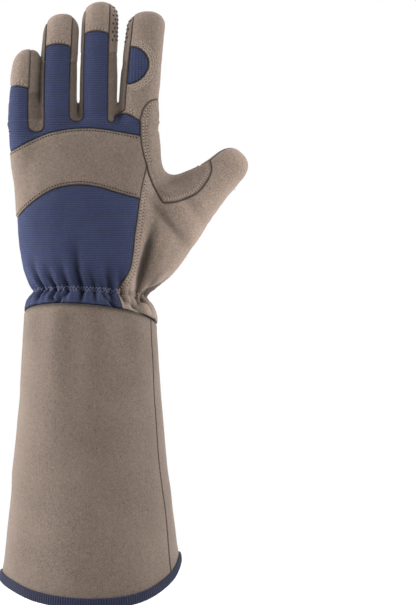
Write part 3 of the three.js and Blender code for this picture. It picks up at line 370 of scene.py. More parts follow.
def spline(rows, column=1):
    """A smooth curve through table rows: a function that gives the column at any place of the first one."""
    xs = np.array([row[0] for row in rows], float)
    ys = np.array([row[column] for row in rows], float)
    slopes = np.gradient(ys, xs)

    def at(x):
        x = np.clip(x, xs[0], xs[-1])
        i = np.clip(np.searchsorted(xs, x, side="right") - 1, 0, len(xs) - 2)
        gap = xs[i + 1] - xs[i]
        t = (x - xs[i]) / gap
        start = ys[i] * (1 + 2 * t) * (1 - t) ** 2 + slopes[i] * gap * t * (1 - t) ** 2
        return start + ys[i + 1] * t * t * (3 - 2 * t) - slopes[i + 1] * gap * t * t * (1 - t)

    return at


def smoothstep(x, low, high):
    t = np.clip((x - low) / (high - low), 0, 1)
    return t * t * (3 - 2 * t)


def lerp(a, b, share):
    return a + (b - a) * share


def unit(rows):
    """Rows of vectors at length one."""
    return rows / np.maximum(np.linalg.norm(rows, axis=1), 1e-9)[:, None]


def steps_along(places):
    """How far along a line each of its places lies."""
    return np.r_[0, np.cumsum(np.linalg.norm(np.diff(places, axis=0), axis=1))]


def degrees_between(a, b):
    return np.abs((a - b + 540) % 360 - 180)


ROOT_HEIGHT = WRIST_HEIGHT + 0.72 * HAND_LENGTH
KNUCKLE_LINE = WRIST_HEIGHT + HAND_LENGTH
TOP_HEIGHT = KNUCKLE_LINE + max(finger["length"] for finger in FINGERS.values())


def middle_y(x, z):
    """The middle surface that the fingers bend along."""
    lift = np.maximum(0, (z - ROOT_HEIGHT) / (TOP_HEIGHT - ROOT_HEIGHT))
    beyond = np.maximum(0, x - HALF + SEAM_GAP)
    towards_little = np.clip(0.5 - x / PALM[0], 0, 1)
    return FINGER_BEND * (1 + towards_little) * lift**2 + THUMB_SPLAY * beyond


def side_seam_y(x, z):
    return middle_y(x, z) + LITTLE_SEAM_SHIFT * smoothstep(-x, 0, HALF)


def finger_top(finger):
    return KNUCKLE_LINE + finger["length"]


def finger_x(finger, z):
    """The finger's middle line in the front view."""
    t = np.clip((z - ROOT_HEIGHT) / (finger_top(finger) - ROOT_HEIGHT), 0, 1)
    return HALF * ((1 - t) ** 2 * finger["root"] + 2 * t * (1 - t) * finger["pull"] + t * t * finger["tip"])


def thumb_place(across, up):
    x, z = across * THUMB_REACH, WRIST_HEIGHT + up * THUMB_RISE
    return np.array([x, middle_y(x, z) + THUMB_FORWARD, z])


def thumb_line(count=90):
    """Places along the thumb with its half sizes: rows of x, y, z, half width, half depth."""
    places = np.array([thumb_place(a, u) for a, u, _, _ in THUMB_ROWS] + [thumb_place(*THUMB_TIP)])
    steps = steps_along(places)
    at = np.linspace(0, steps[-1], count)
    sizes = [(w * THUMB[0] / 2, d * THUMB[1] / 2) for _, _, w, d in THUMB_ROWS]
    sizes.append(sizes[-1])
    columns = [spline(list(zip(steps, places[:, k])))(at) for k in range(3)]
    columns += [spline([(s, size[k]) for s, size in zip(steps, sizes)])(at) for k in range(2)]
    return np.array(columns).T, steps[len(THUMB_ROWS) - 1] / steps[-1]


def wrist_at(c, s):
    return WRIST_HEIGHT - WRIST_TILT * s - WRIST_SLANT * c


def cuff_seam_at(c, s):
    return CUFF_HEIGHT - CUFF_SEAM_TILT * s - CUFF_SEAM_SLANT * c


HAND_WIDTH, HAND_DEPTH, HAND_SHIFT = (spline(HAND_ROWS, column) for column in (1, 2, 3))
FLARE = spline(FLOUNCE_FLARE)


def hand_place(x, y, z):
    """Where a point lies on the hand: level up it, negative down the flounce, then cosine, sine and size."""
    up = (z - WRIST_HEIGHT) / HAND_LENGTH
    drop = WRIST_HEIGHT - CUFF_HEIGHT
    for _ in range(3):
        flare = FLARE(np.maximum(0, -up))
        a = np.where(up >= 0, HAND_WIDTH(up) * HALF, lerp(WRIST[0], CUFF_TOP[0], flare) / 2)
        b = np.where(up >= 0, HAND_DEPTH(up) * PALM[1] / 2, lerp(WRIST[1], CUFF_TOP[1], flare) / 2)
        shift = np.where(up >= 0, HAND_SHIFT(up) * PALM[0], 0)
        c, s = (x - shift) / a, y / b
        norm = np.sqrt(c * c + s * s) + 1e-6
        c, s = c / norm, s / norm
        fade = np.clip(up * 2, 0, 1)
        base = lerp(wrist_at(c, s), WRIST_HEIGHT, fade)
        arch = KNUCKLE_ARCH * np.clip(up, 0, 1) ** 3 * (c - ARCH_MIDDLE) ** 2
        above = (z - base + arch) / HAND_LENGTH
        below = (z - base) / np.maximum(wrist_at(c, s) - cuff_seam_at(c, s), drop * LEAST_DROP)
        up = np.where(z - base + arch >= 0, above, below)
    return up, c, s, a, b, shift


CORNERS = [(i, j, k) for i in (0, 1) for j in (0, 1) for k in (0, 1)]


class Field:
    """Signed distances to the glove's outside on a lattice of points, negative inside."""

    FAR = 8.0

    def __init__(self, low, high, pitch):
        self.low, self.pitch = np.array(low, float), pitch
        self.axes = [np.arange(a, b, pitch) for a, b in zip(low, high)]
        self.values = np.full([len(axis) for axis in self.axes], self.FAR, np.float32)

    def form(self, low, high, shape):
        """One form's distances within a box: the shape is negative inside and its slope sets the scale."""
        spans = [slice(*np.searchsorted(axis, (a, b))) for axis, a, b in zip(self.axes, low, high)]
        x, y, z = np.meshgrid(*[axis[span] for axis, span in zip(self.axes, spans)], indexing="ij")
        values = shape(x, y, z)
        slope = np.sqrt(sum(g * g for g in np.gradient(values, self.pitch)))
        distance = np.full_like(self.values, self.FAR)
        distance[tuple(spans)] = np.clip(values / np.maximum(slope, 1e-4), -self.FAR, self.FAR)
        return distance

    def join(self, distance, round_by=0.0):
        """Adds a form; round_by is how wide the hollow between old and new is filled."""
        if np.ndim(round_by) or round_by > 0:
            near = np.maximum(round_by - np.abs(self.values - distance), 0)
            fill = near * near / np.maximum(round_by, 1e-3) / 4
        else:
            fill = 0
        self.values = (np.minimum(self.values, distance) - fill).astype(np.float32)

    def skin(self):
        """The surface where the distance is nothing, as points and triangles."""
        inside = self.values < 0
        size = inside.shape
        block = [inside[i:size[0] - 1 + i, j:size[1] - 1 + j, k:size[2] - 1 + k] for i, j, k in CORNERS]
        count = sum(part.astype(np.int8) for part in block)
        cells = np.argwhere((count > 0) & (count < 8))
        number = np.full([n - 1 for n in size], -1, np.int64)
        number[tuple(cells.T)] = np.arange(len(cells))
        value = np.stack([self.values[tuple((cells + corner).T)] for corner in CORNERS], axis=1)
        total, hits = np.zeros((len(cells), 3)), np.zeros(len(cells))
        for p, start in enumerate(CORNERS):
            for q, end in enumerate(CORNERS):
                if q <= p or sum(abs(a - b) for a, b in zip(start, end)) != 1:
                    continue
                crossed = (value[:, p] < 0) != (value[:, q] < 0)
                share = value[crossed, p] / (value[crossed, p] - value[crossed, q])
                total[crossed] += np.array(start) + share[:, None] * (np.array(end) - start)
                hits[crossed] += 1
        points = self.low + (cells + total / hits[:, None]) * self.pitch
        quads = []
        for axis in range(3):
            step = np.eye(3, dtype=int)[axis]
            u, v = np.eye(3, dtype=int)[(axis + 1) % 3], np.eye(3, dtype=int)[(axis + 2) % 3]
            first = inside[tuple(slice(0, n - d) for n, d in zip(size, step))]
            second = inside[tuple(slice(d, None) for d in step)]
            edges = np.argwhere(first != second)
            keep = np.all((edges - u - v >= 0) & (edges < np.array(size) - 1), axis=1)
            edges = edges[keep]
            ring = [number[tuple((edges + d).T)] for d in (-u - v, -v, 0 * u, -u)]
            quad = np.stack(ring, axis=1)
            leaving = first[tuple(edges.T)]
            quads.append(np.where(leaving[:, None], quad, quad[:, ::-1]))
        quad = np.vstack(quads)
        quad = quad[(quad >= 0).all(axis=1)]
        return points, np.vstack([quad[:, [0, 1, 2]], quad[:, [0, 2, 3]]])

    def sample(self, points):
        """The distance at any points, and its slope."""
        at = (points - self.low) / self.pitch
        cell = np.clip(np.floor(at).astype(int), 1, np.array(self.values.shape) - 3)
        t = at - cell
        total, slope = np.zeros(len(points)), np.zeros((len(points), 3))
        for corner in CORNERS:
            value = self.values[tuple((cell + corner).T)]
            parts = [t[:, n] if bit else 1 - t[:, n] for n, bit in enumerate(corner)]
            total += value * parts[0] * parts[1] * parts[2]
            for n, bit in enumerate(corner):
                others = [part for m, part in enumerate(parts) if m != n]
                slope[:, n] += (1 if bit else -1) * value * others[0] * others[1] / self.pitch
        return total, slope


def hand_shape(x, y, z):
    """The hand from the flounce to the knuckles: a rounded section that follows the hand's rows."""
    up, _, _, a, b, shift = hand_place(x, y, z)
    round_by = np.where(up < 0, lerp(ROUNDNESS, 2.0, np.clip(-up, 0, 1)), ROUNDNESS)
    size = (np.abs((x - shift) / a) ** round_by + np.abs(y / b) ** round_by) ** (1 / round_by) - 1
    return np.maximum(size, (up - HAND_TOP) * HAND_TOP_SLOPE)


def finger_shape(finger):
    """A finger with a round dome, as a function of places that is negative inside it."""
    foot = (finger_top(finger) - ROOT_HEIGHT) * FINGER_ROOT_ROUND
    dome = finger_top(finger) - finger["round"]
    width, depth = spline(FINGER_GIRTH, 1), spline(FINGER_GIRTH, 2)

    def shape(x, y, z):
        middle = finger_x(finger, z)
        t = np.clip((z - ROOT_HEIGHT) / (dome - ROOT_HEIGHT), 0, 1)
        grown = np.where(x < middle, *finger.get("grow", (0, 0)))
        across = np.abs((x - middle) / (width(t) * finger["width"] / 2 + grown))
        through = np.abs((y - middle_y(middle, z)) / (depth(t) * finger["depth"] / 2))
        ahead = np.maximum(0, z - dome) / finger["round"] + np.maximum(0, ROOT_HEIGHT - z) / foot
        return (across**ROUNDNESS + through**ROUNDNESS + ahead**ROUNDNESS) ** (1 / ROUNDNESS) - 1

    return shape


CHUNK = 100000


def thumb_shape(x, y, z):
    """The thumb: a tapering round form along its line, with a dome at its tip."""
    line, dome_share = thumb_line()
    flat = np.stack([x, z], axis=-1).reshape(-1, 2)
    planar = line[:, [0, 2]]
    nearest = np.zeros(len(flat), int)
    for start in range(0, len(flat), CHUNK):
        part = slice(start, start + CHUNK)
        gap = flat[part, None, :] - planar[None, :, :]
        nearest[part] = (gap * gap).sum(axis=2).argmin(axis=1)
    tangent = unit(np.gradient(line[:, :3], axis=0))
    depthways = unit(np.array([0, 1, 0]) - tangent * tangent[:, 1:2])
    sideways = np.cross(depthways, tangent)
    dome = int(dome_share * (len(line) - 1))
    held = np.minimum(nearest, dome)
    offset = np.stack([x, y, z], axis=-1).reshape(-1, 3) - line[held, :3]
    across = np.abs((offset * sideways[held]).sum(axis=1) / line[held, 3])
    through = np.abs((offset * depthways[held]).sum(axis=1) / line[held, 4])
    along = (offset * tangent[held]).sum(axis=1)
    ahead = np.where(held == dome, np.maximum(0, along) / THUMB_TIP_ROUND, 0)
    behind = np.where(held == 0, np.maximum(0, -along) / THUMB_TIP_ROUND, 0)
    size = (across**ROUNDNESS + through**ROUNDNESS + (ahead + behind) ** ROUNDNESS) ** (1 / ROUNDNESS) - 1
    return size.reshape(x.shape)


def web_shape(x, y, z):
    """The web of cloth between the thumb and the hand."""
    places = [thumb_place(a, u) for a, u, _, _ in WEB_ROWS]
    xs = [p[0] for p in places]
    middle_z = spline([(p[0], p[2]) for p in places])(x)
    tall = spline([(p[0], row[2] * THUMB_RISE / 2) for p, row in zip(places, WEB_ROWS)])(x)
    deep = spline([(p[0], row[3] * THUMB[1] / 2) for p, row in zip(places, WEB_ROWS)])(x)
    beyond = (np.maximum(0, xs[0] - x) + np.maximum(0, x - xs[-1])) / WEB_END_ROUND
    through = np.abs((y - middle_y(x, middle_z) - THUMB_FORWARD) / deep)
    size = np.abs((z - middle_z) / tall) ** ROUNDNESS + through**ROUNDNESS + beyond**ROUNDNESS
    return size ** (1 / ROUNDNESS) - 1


def glove_field(pitch):
    """The hand, fingers, thumb and web in one field, with the hollows between them filled."""
    field, fingers = Field(*SKIN_BOX, pitch), Field(*SKIN_BOX, pitch)
    z = field.axes[2][None, None, :]
    crotch = KNUCKLE_LINE - CROTCH_DEPTH
    fillet = KNUCKLE_BLEND * (1 - smoothstep(z, crotch, crotch + CROTCH_FADE))
    for finger in FINGERS.values():
        xs = HALF * np.array([finger["root"], finger["pull"], finger["tip"]])
        wide = finger["width"] / 2 + FINGER_MARGIN
        low = (xs.min() - wide, FINGER_FRONT, ROOT_HEIGHT - FINGER_FOOT)
        high = (xs.max() + wide, FINGER_BACK, finger_top(finger) + FINGER_HEAD)
        fingers.join(fingers.form(low, high, finger_shape(finger)), fillet)
    field.join(field.form(*HAND_BOX, hand_shape))
    field.join(fingers.values, KNUCKLE_BLEND)
    field.join(field.form(*THUMB_BOX, thumb_shape), THUMB_BLEND)
    field.join(field.form(*WEB_BOX, web_shape), THUMB_BLEND)
    return field


def normals_of(points, triangles):
    """Outward directions at the points, from the triangles round them."""
    corner = points[triangles]
    face = np.cross(corner[:, 1] - corner[:, 0], corner[:, 2] - corner[:, 0])
    total = np.zeros_like(points)
    for k in range(3):
        np.add.at(total, triangles[:, k], face)
    return unit(total)


def edges_of(triangles):
    return np.vstack([triangles[:, [0, 1]], triangles[:, [1, 2]], triangles[:, [2, 0]]])


def relaxed(points, triangles, rounds, strength=0.5):
    """Points drawn towards the middle of their neighbours."""
    edges = edges_of(triangles)
    pairs = np.vstack([edges, edges[:, ::-1]])
    count = np.bincount(pairs[:, 0], minlength=len(points))[:, None]
    for _ in range(rounds):
        total = np.zeros_like(points)
        np.add.at(total, pairs[:, 0], points[pairs[:, 1]])
        points = lerp(points, total / np.maximum(count, 1), strength)
    return points


def cut(values, triangles, count):
    """Cuts triangles along the zero line of values. New points are numbered on from count."""
    inside = values > 0
    mask = inside[triangles]
    kinds = mask.sum(axis=1)
    mixed = triangles[(kinds == 1) | (kinds == 2)]
    flags = inside[mixed]
    lone_inside = flags.sum(axis=1) == 1
    lone = np.where(lone_inside[:, None], flags, ~flags).argmax(axis=1)
    rows = np.arange(len(mixed))
    a, b, c = (mixed[rows, (lone + turn) % 3] for turn in range(3))
    ends = np.sort(np.vstack([np.c_[a, b], np.c_[a, c]]), axis=1)
    pairs, where = np.unique(ends, axis=0, return_inverse=True)
    where = where.reshape(-1)
    share = values[pairs[:, 0]] / (values[pairs[:, 0]] - values[pairs[:, 1]])
    p, q = count + where[:len(a)], count + where[len(a):]
    tips = np.c_[a, p, q]
    bases = [np.c_[p, b, c], np.c_[p, c, q]]
    held = [triangles[kinds == 3], tips[lone_inside]] + [base[~lone_inside] for base in bases]
    left = [triangles[kinds == 0], tips[~lone_inside]] + [base[lone_inside] for base in bases]
    return pairs, share, np.vstack(held), np.vstack(left), np.c_[p, q]


def between(rows, pairs, share):
    return rows[pairs[:, 0]] + share[:, None] * (rows[pairs[:, 1]] - rows[pairs[:, 0]])


def signed_distance(points, outline):
    """How far inside a closed front-view outline each point lies; negative outside."""
    outline = np.asarray(outline, float)
    after = np.roll(outline, -1, axis=0)
    best = np.full(len(points), 1e9)
    inside = np.zeros(len(points), bool)
    x, z = points[:, 0], points[:, 1]
    for (ax, az), (bx, bz) in zip(outline, after):
        dx, dz = bx - ax, bz - az
        length = dx * dx + dz * dz
        if length < 1e-12:
            continue
        t = np.clip(((x - ax) * dx + (z - az) * dz) / length, 0, 1)
        best = np.minimum(best, (x - ax - t * dx) ** 2 + (z - az - t * dz) ** 2)
        crosses = (az > z) != (bz > z)
        if dz:
            inside ^= crosses & (x < ax + (z - az) * dx / dz)
    return np.where(inside, 1, -1) * np.sqrt(best)


def spot(across, up):
    return np.array([across * HALF, WRIST_HEIGHT + up * HAND_LENGTH])


def seam_curve(rows, steps=10):
    """A smooth front-view line through table rows."""
    places = np.array([spot(*row) for row in rows])
    at = np.arange(len(places))
    fine = np.linspace(0, len(places) - 1, (len(places) - 1) * steps + 1)
    return np.c_[[spline(list(zip(at, places[:, k])))(fine) for k in range(2)]].T


def beside_middle(finger, share, z):
    """Across at a height of a finger: a share of its half width from its middle line."""
    return finger_x(finger, z) + share * finger["width"] / 2


def up_finger(finger, share, low, high, steps=14):
    z = np.linspace(low, high, steps + 1)
    return np.c_[beside_middle(finger, share, z), z]


FAR = 400
LITTLE, RING, _, INDEX = FINGERS.values()
CROTCH_SPOTS = [spot(across, up) for across, up, _ in CROTCHES]
PALM_CROTCH_SPOTS = [spot(across, up) for across, _, up in CROTCHES]
PAST_TIPS = TOP_HEIGHT + HAND_LENGTH / 8


def cap_line(finger):
    return finger_top(finger) - finger["cap"]


def patch_line(finger):
    return finger_top(finger) - finger["patch"]


def cap_edge(finger):
    """The edge across a finger's back where knit meets fingertip, from right to left."""
    left, right = finger["seams"]
    share = np.linspace(1, -1, 2 * CAP_MIDDLE + 1)
    z = cap_line(finger)
    x = beside_middle(finger, (left + right) / 2 + share * (right - left) / 2, z)
    return np.c_[x, z + finger["width"] * CAP_RISE * (1 - share**2)]


def crotch_arc(i, right_end=None):
    """The rounded edge below a gusset, from right to left."""
    before, after = FINGERS[NAMES[i]], FINGERS[NAMES[i + 1]]
    low, high = CROTCH_SPOTS[i][1], CROTCH_SPOTS[i][1] + ON_FINGER
    left = beside_middle(before, before["seams"][1], high)
    right = beside_middle(after, after["seams"][0], high) if right_end is None else right_end
    angle = np.linspace(0, math.pi, ARC_STEPS + 1)[1:-1]
    x = (left + right) / 2 + (right - left) / 2 * np.cos(angle)
    return np.c_[x, high - (high - low) * np.sin(angle)]


def knit_outline():
    """The knit over the knuckles and three fingers, from the little finger's side round and back."""
    top, base = seam_curve(BAND_TOP), seam_curve(INDEX_BASE)[::-1]
    top[0][0] = -FAR
    parts = [top, base, crotch_arc(2, base[-1][0])]
    for i in (2, 1, 0):
        finger = FINGERS[NAMES[i]]
        (left, right), edge = finger["seams"], cap_edge(finger)
        parts.append(up_finger(finger, right, CROTCH_SPOTS[i][1] + ON_FINGER, cap_line(finger))[:-1])
        if i:
            down = up_finger(finger, left, CROTCH_SPOTS[i - 1][1] + ON_FINGER, cap_line(finger))[:-1][::-1]
            parts += [edge, down, crotch_arc(i - 1)]
        else:
            parts += [edge[:CAP_MIDDLE + 1], [(-FAR, edge[CAP_MIDDLE][1])]]
    return np.vstack(parts)


def cap_outline(finger):
    """A fingertip's back, from the cap's edge to beyond the tip."""
    edge = cap_edge(finger)
    slide = finger_x(finger, finger_top(finger)) - finger_x(finger, cap_line(finger))
    right = (edge[0][0] + slide, PAST_TIPS)
    if finger is LITTLE:
        return np.vstack([edge[:CAP_MIDDLE + 1], (-FAR, edge[CAP_MIDDLE][1]), (-FAR, PAST_TIPS), right])
    return np.vstack([edge, (edge[-1][0] + slide, PAST_TIPS), right])


def index_back_outline():
    """The index finger's back, from its base seam to beyond its tip."""
    low = seam_curve(INDEX_BASE)
    beside = finger_x(INDEX, finger_top(INDEX)) + INDEX["width"]
    corner = [(beside, low[-1][1] - BASE_DROP), (beside, PAST_TIPS)]
    side = up_finger(INDEX, INDEX["seams"][0], low[0][1] + ON_FINGER, PAST_TIPS)
    return np.vstack([low, corner, side[::-1]])


def flex_outline():
    """The half-moon of ribbed knit, with its flat side on the index finger's left seam."""
    z = KNUCKLE_LINE + FLEX["up"] * INDEX["length"]
    angle = np.linspace(-math.pi / 2, math.pi / 2, 2 * ARC_STEPS + 1)
    height = z + np.sin(angle) * FLEX["tall"] / 2
    return np.c_[beside_middle(INDEX, INDEX["seams"][0], height) + FLEX["wide"] * np.cos(angle), height]


def saddle_outline():
    """The overlay between index finger and thumb."""
    parts = [SADDLE_TOP, THUMB_SIDE[:4], SADDLE_BOTTOM, SADDLE_THUMB]
    return np.vstack([seam_curve(part)[bool(i):] for i, part in enumerate(parts)])


def band_outline():
    """The band across the knuckles."""
    edge, top, bottom = seam_curve(THUMB_SIDE), seam_curve(BAND_TOP), seam_curve(BAND_BOTTOM)
    top[0][0] = bottom[0][0] = -FAR
    right = edge[(edge[:, 1] < top[-1][1]) & (edge[:, 1] > bottom[-1][1])]
    return np.vstack([bottom, right[::-1], top[::-1]])


def back_outline():
    """The knit back of the hand, below the band."""
    edge, top = seam_curve(THUMB_SIDE), seam_curve(BAND_BOTTOM)
    top[0][0] = -FAR
    right = edge[edge[:, 1] < top[-1][1]]
    low = right[-1][1] - BELOW_SEAMS
    return np.vstack([[(-FAR, low), (right[-1][0], low)], right[::-1], top[::-1]])


def thumb_back_outline():
    """All that lies outside the thumb's side seam."""
    edge = seam_curve(THUMB_SIDE)
    low = edge[-1][1] - BELOW_SEAMS
    return np.vstack([[(edge[-1][0], low), (FAR, low), (FAR, edge[0][1])], edge])


def palm_outline():
    """The palm and the palm side of the fingers up to their tip patches."""
    parts = [[(-FAR, CUFF_HEIGHT / 2), (-FAR, patch_line(LITTLE))]]
    for i, finger in enumerate(FINGERS.values()):
        left = PALM_CROTCH_SPOTS[i - 1][1] + ON_FINGER if i else KNUCKLE_LINE
        right = PALM_CROTCH_SPOTS[i][1] + ON_FINGER if i < 3 else KNUCKLE_LINE
        parts.append(up_finger(finger, -PALM_SEAM_SHARE if i else -3, left, patch_line(finger)))
        parts.append(up_finger(finger, PALM_SEAM_SHARE if i < 3 else 3, right, patch_line(finger))[::-1])
        if i < 3:
            parts.append([PALM_CROTCH_SPOTS[i]])
    parts.append([(FAR, patch_line(INDEX)), (FAR, CUFF_HEIGHT / 2)])
    return np.vstack(parts)


def gusset_outline(i):
    """The strip between two fingers' middle lines."""
    a, b = FINGERS[NAMES[i]], FINGERS[NAMES[i + 1]]
    low = min(CROTCH_SPOTS[i][1], PALM_CROTCH_SPOTS[i][1]) - GUSSET_FOOT
    return np.vstack([up_finger(a, 0, low, PAST_TIPS), up_finger(b, 0, low, PAST_TIPS)[::-1]])


def half_way(a, b, low):
    """The line midway between two fingers, or far beside the first or last one."""
    z = np.linspace(low, PAST_TIPS, 9)
    left = beside_middle(a, 1, z) if a else -2.0 * PALM[0]
    right = beside_middle(b, -1, z) if b else 2.0 * PALM[0]
    return np.c_[(left + right) / 2, z]


def tip_patch_outline(i):
    finger = FINGERS[NAMES[i]]
    before = FINGERS[NAMES[i - 1]] if i else None
    after = FINGERS[NAMES[i + 1]] if i < 3 else None
    low = patch_line(finger)
    return np.vstack([half_way(before, finger, low)[::-1], half_way(finger, after, low)])


def thumb_patch_outline():
    line = thumb_line()[0]
    steps = steps_along(line[:, :3])
    at = np.searchsorted(steps, steps[-1] - THUMB_PATCH_LENGTH)
    place = line[at, [0, 2]]
    ahead = line[at + 1, [0, 2]] - line[at - 1, [0, 2]]
    ahead /= np.linalg.norm(ahead)
    beside = np.array([ahead[1], -ahead[0]])
    corners = [(-THUMB_PATCH_HALF, 0), (THUMB_PATCH_HALF, 0), (THUMB_PATCH_HALF, 2), (-THUMB_PATCH_HALF, 2)]
    return [place + THUMB[0] * (across * beside + forward * ahead) for across, forward in corners]


def palm_patch_outline():
    peaks = []
    for i, finger in enumerate(FINGERS.values()):
        z = WRIST_HEIGHT + finger["peak"] * HAND_LENGTH
        x, wide = finger_x(finger, z), finger["width"]
        share = np.linspace(-1, 1, 9)
        peaks.append(np.c_[x + share * wide * PEAK_WIDTH, z - wide * PEAK_DROP * share**2])
        if i < 3:
            peaks.append([PALM_CROTCH_SPOTS[i] - (0, PATCH_DIP * HAND_LENGTH)])
    peaks = np.vstack(peaks)
    end = PATCH_END * PALM[0]
    upper = seam_curve(SLOT_UPPER)
    return np.vstack([seam_curve(PATCH_EDGE), seam_curve(SLOT_LOWER)[1:], upper,
                      [(end, upper[-1][1]), (end, peaks[-1][1])], peaks[::-1]])


NOISE_CELLS = 32


def noise(points, scale, seed):
    """Smooth lattice noise between -1 and 1, the same on each run."""
    table = np.random.RandomState(seed).uniform(-1, 1, [NOISE_CELLS] * 3)
    at = points / scale
    cell = np.floor(at).astype(int)
    t = at - cell
    t = t * t * (3 - 2 * t)
    total = np.zeros(len(points))
    for corner in CORNERS:
        weight = np.ones(len(points))
        for n, bit in enumerate(corner):
            weight = weight * (t[:, n] if bit else 1 - t[:, n])
        total += weight * table[tuple((cell + corner).T % NOISE_CELLS)]
    return total


def add_gathers(inwards, painted_valley_shade, up, turn, is_hand):
    """Adds the pleats of the drawn-in wrist and the puckers along its elastic, and painted shade in the
    pleats' valleys.
    """
    above = np.where(up >= 0, up * HAND_LENGTH, 0)
    below = np.maximum(0, -up)
    for at, deep, reach, wide in PLEATS:
        spread = wide * (1 + above / reach * PLEAT_SPREAD)
        across = np.exp(-((degrees_between(turn, at) / spread) ** 2))
        up_hand = np.maximum(0, 1 - above / (reach * PLEAT_REACH)) ** PLEAT_POWER
        down_flounce = 1 - PLEAT_FADE_BELOW * smoothstep(below, PLEAT_FADE_FROM, 1)
        along = np.where(up >= 0, up_hand, down_flounce)
        inwards += deep * across * along
        painted_valley_shade += deep * across**2 * along * is_hand
    mean_fade = 1 - MEAN_PLEAT_FADE * smoothstep(below, 0, 1)
    inwards -= MEAN_PLEAT * np.maximum(0, 1 - above / MEAN_PLEAT_REACH) * mean_fade
    inwards *= is_hand
    from_elastic = np.abs(up) * np.where(up >= 0, HAND_LENGTH, FLOUNCE_LENGTH)
    line, beside = (np.exp(-((from_elastic / wide) ** 2)) for wide in (ELASTIC_LINE, ELASTIC_REACH))
    angle = np.radians(turn)
    pucker = 0.5 + 0.5 * np.sin(angle * PUCKERS + PUCKER_SWAY * np.sin(angle * PUCKER_SWAYS))
    inwards += is_hand * line * (PUCKER_LINE + PUCKER_DEPTH * pucker)
    inwards += is_hand * beside * PUCKER_BESIDE * (pucker - 0.5)


def add_folds(inwards, painted_valley_shade, x, z, normal):
    """Adds the dents and ridges of the cloth, and painted shade where they sink."""
    for fold_x, fold_z, long, wide, turn, deep, side in FOLDS:
        lean = math.radians(turn)
        dx, dz = x - fold_x, z - fold_z
        along = (dx * math.cos(lean) + dz * math.sin(lean)) / long
        across = (-dx * math.sin(lean) + dz * math.cos(lean)) / wide
        sunk = deep * np.exp(-(along**2) - across**2) * FACING[side](normal[:, 1])
        inwards += sunk
        painted_valley_shade += np.maximum(0, sunk) * np.exp(-(across**2))


def drape(rest, normal):
    """The skin in the cloth's shape, gathered, folded and a little uneven, and how much painted shade darkens
    its valleys, from 0 to 1.
    """
    x, _, z = rest.T
    up, c, s, *_ = hand_place(*rest.T)
    turn = np.degrees(np.arctan2(s, c)) % 360
    is_hand = smoothstep(-z, -ROOT_HEIGHT, -ROOT_HEIGHT + GATHER_FADE)
    inwards, painted_valley_shade = np.zeros(len(rest)), np.zeros(len(rest))
    add_gathers(inwards, painted_valley_shade, up, turn, is_hand)
    add_folds(inwards, painted_valley_shade, x, z, normal)
    # Painted shade between the little and ring fingers, without moving the cloth.
    deep, wide, rise = TOUCH_PAINTED_SHADE
    touching = (finger_x(LITTLE, z) + finger_x(RING, z) + (LITTLE["width"] - RING["width"]) / 2) / 2
    touch = np.exp(-(((x - touching) / wide) ** 2))
    painted_valley_shade += deep * touch * smoothstep(z, KNUCKLE_LINE, KNUCKLE_LINE + rise)
    soft = sum(amount * noise(rest, size, seed) for amount, size, seed in UNEVEN)
    even = 1 - FINGERS_EVEN * smoothstep(z, ROOT_HEIGHT, KNUCKLE_LINE)
    places = rest - normal * inwards[:, None] + normal * (soft * even)[:, None]
    return places, np.clip(painted_valley_shade / VALLEY_SHADE_DEPTH, 0, 1)


def cloth_uv(rest):
    """Lengths round and up the glove, which the knit's ribs follow, in metres."""
    x, y, z = rest.T
    _, _, _, a, b, shift = hand_place(x, y, np.minimum(z, KNUCKLE_LINE - WEAVE_TOP))
    angle = np.arctan2((x - shift) / a, -y / b)
    steps = np.linspace(-math.pi, math.pi, WEAVE_STEPS)
    speed = np.sqrt((HALF * np.cos(steps)) ** 2 + (PALM[1] / 2 * np.sin(steps)) ** 2)
    length = np.r_[0, np.cumsum((speed[1:] + speed[:-1]) / 2 * np.diff(steps))]
    length -= np.interp(0, steps, length)
    round_hand = np.interp(angle, steps, length)
    round_finger, nearest = np.zeros(len(x)), np.full(len(x), 1e9)
    for finger in FINGERS.values():
        middle = finger_x(finger, z)
        dx, dy = x - middle, y - middle_y(middle, z)
        reach = dx * dx + dy * dy
        around = middle + np.arctan2(dx, -dy) * finger["width"] / 2
        round_finger = np.where(reach < nearest, around, round_finger)
        nearest = np.minimum(nearest, reach)
    on_finger = smoothstep(z, KNUCKLE_LINE - WEAVE_TURN[0], KNUCKLE_LINE - WEAVE_TURN[1])
    return np.c_[lerp(round_hand, round_finger, on_finger), z] * MM


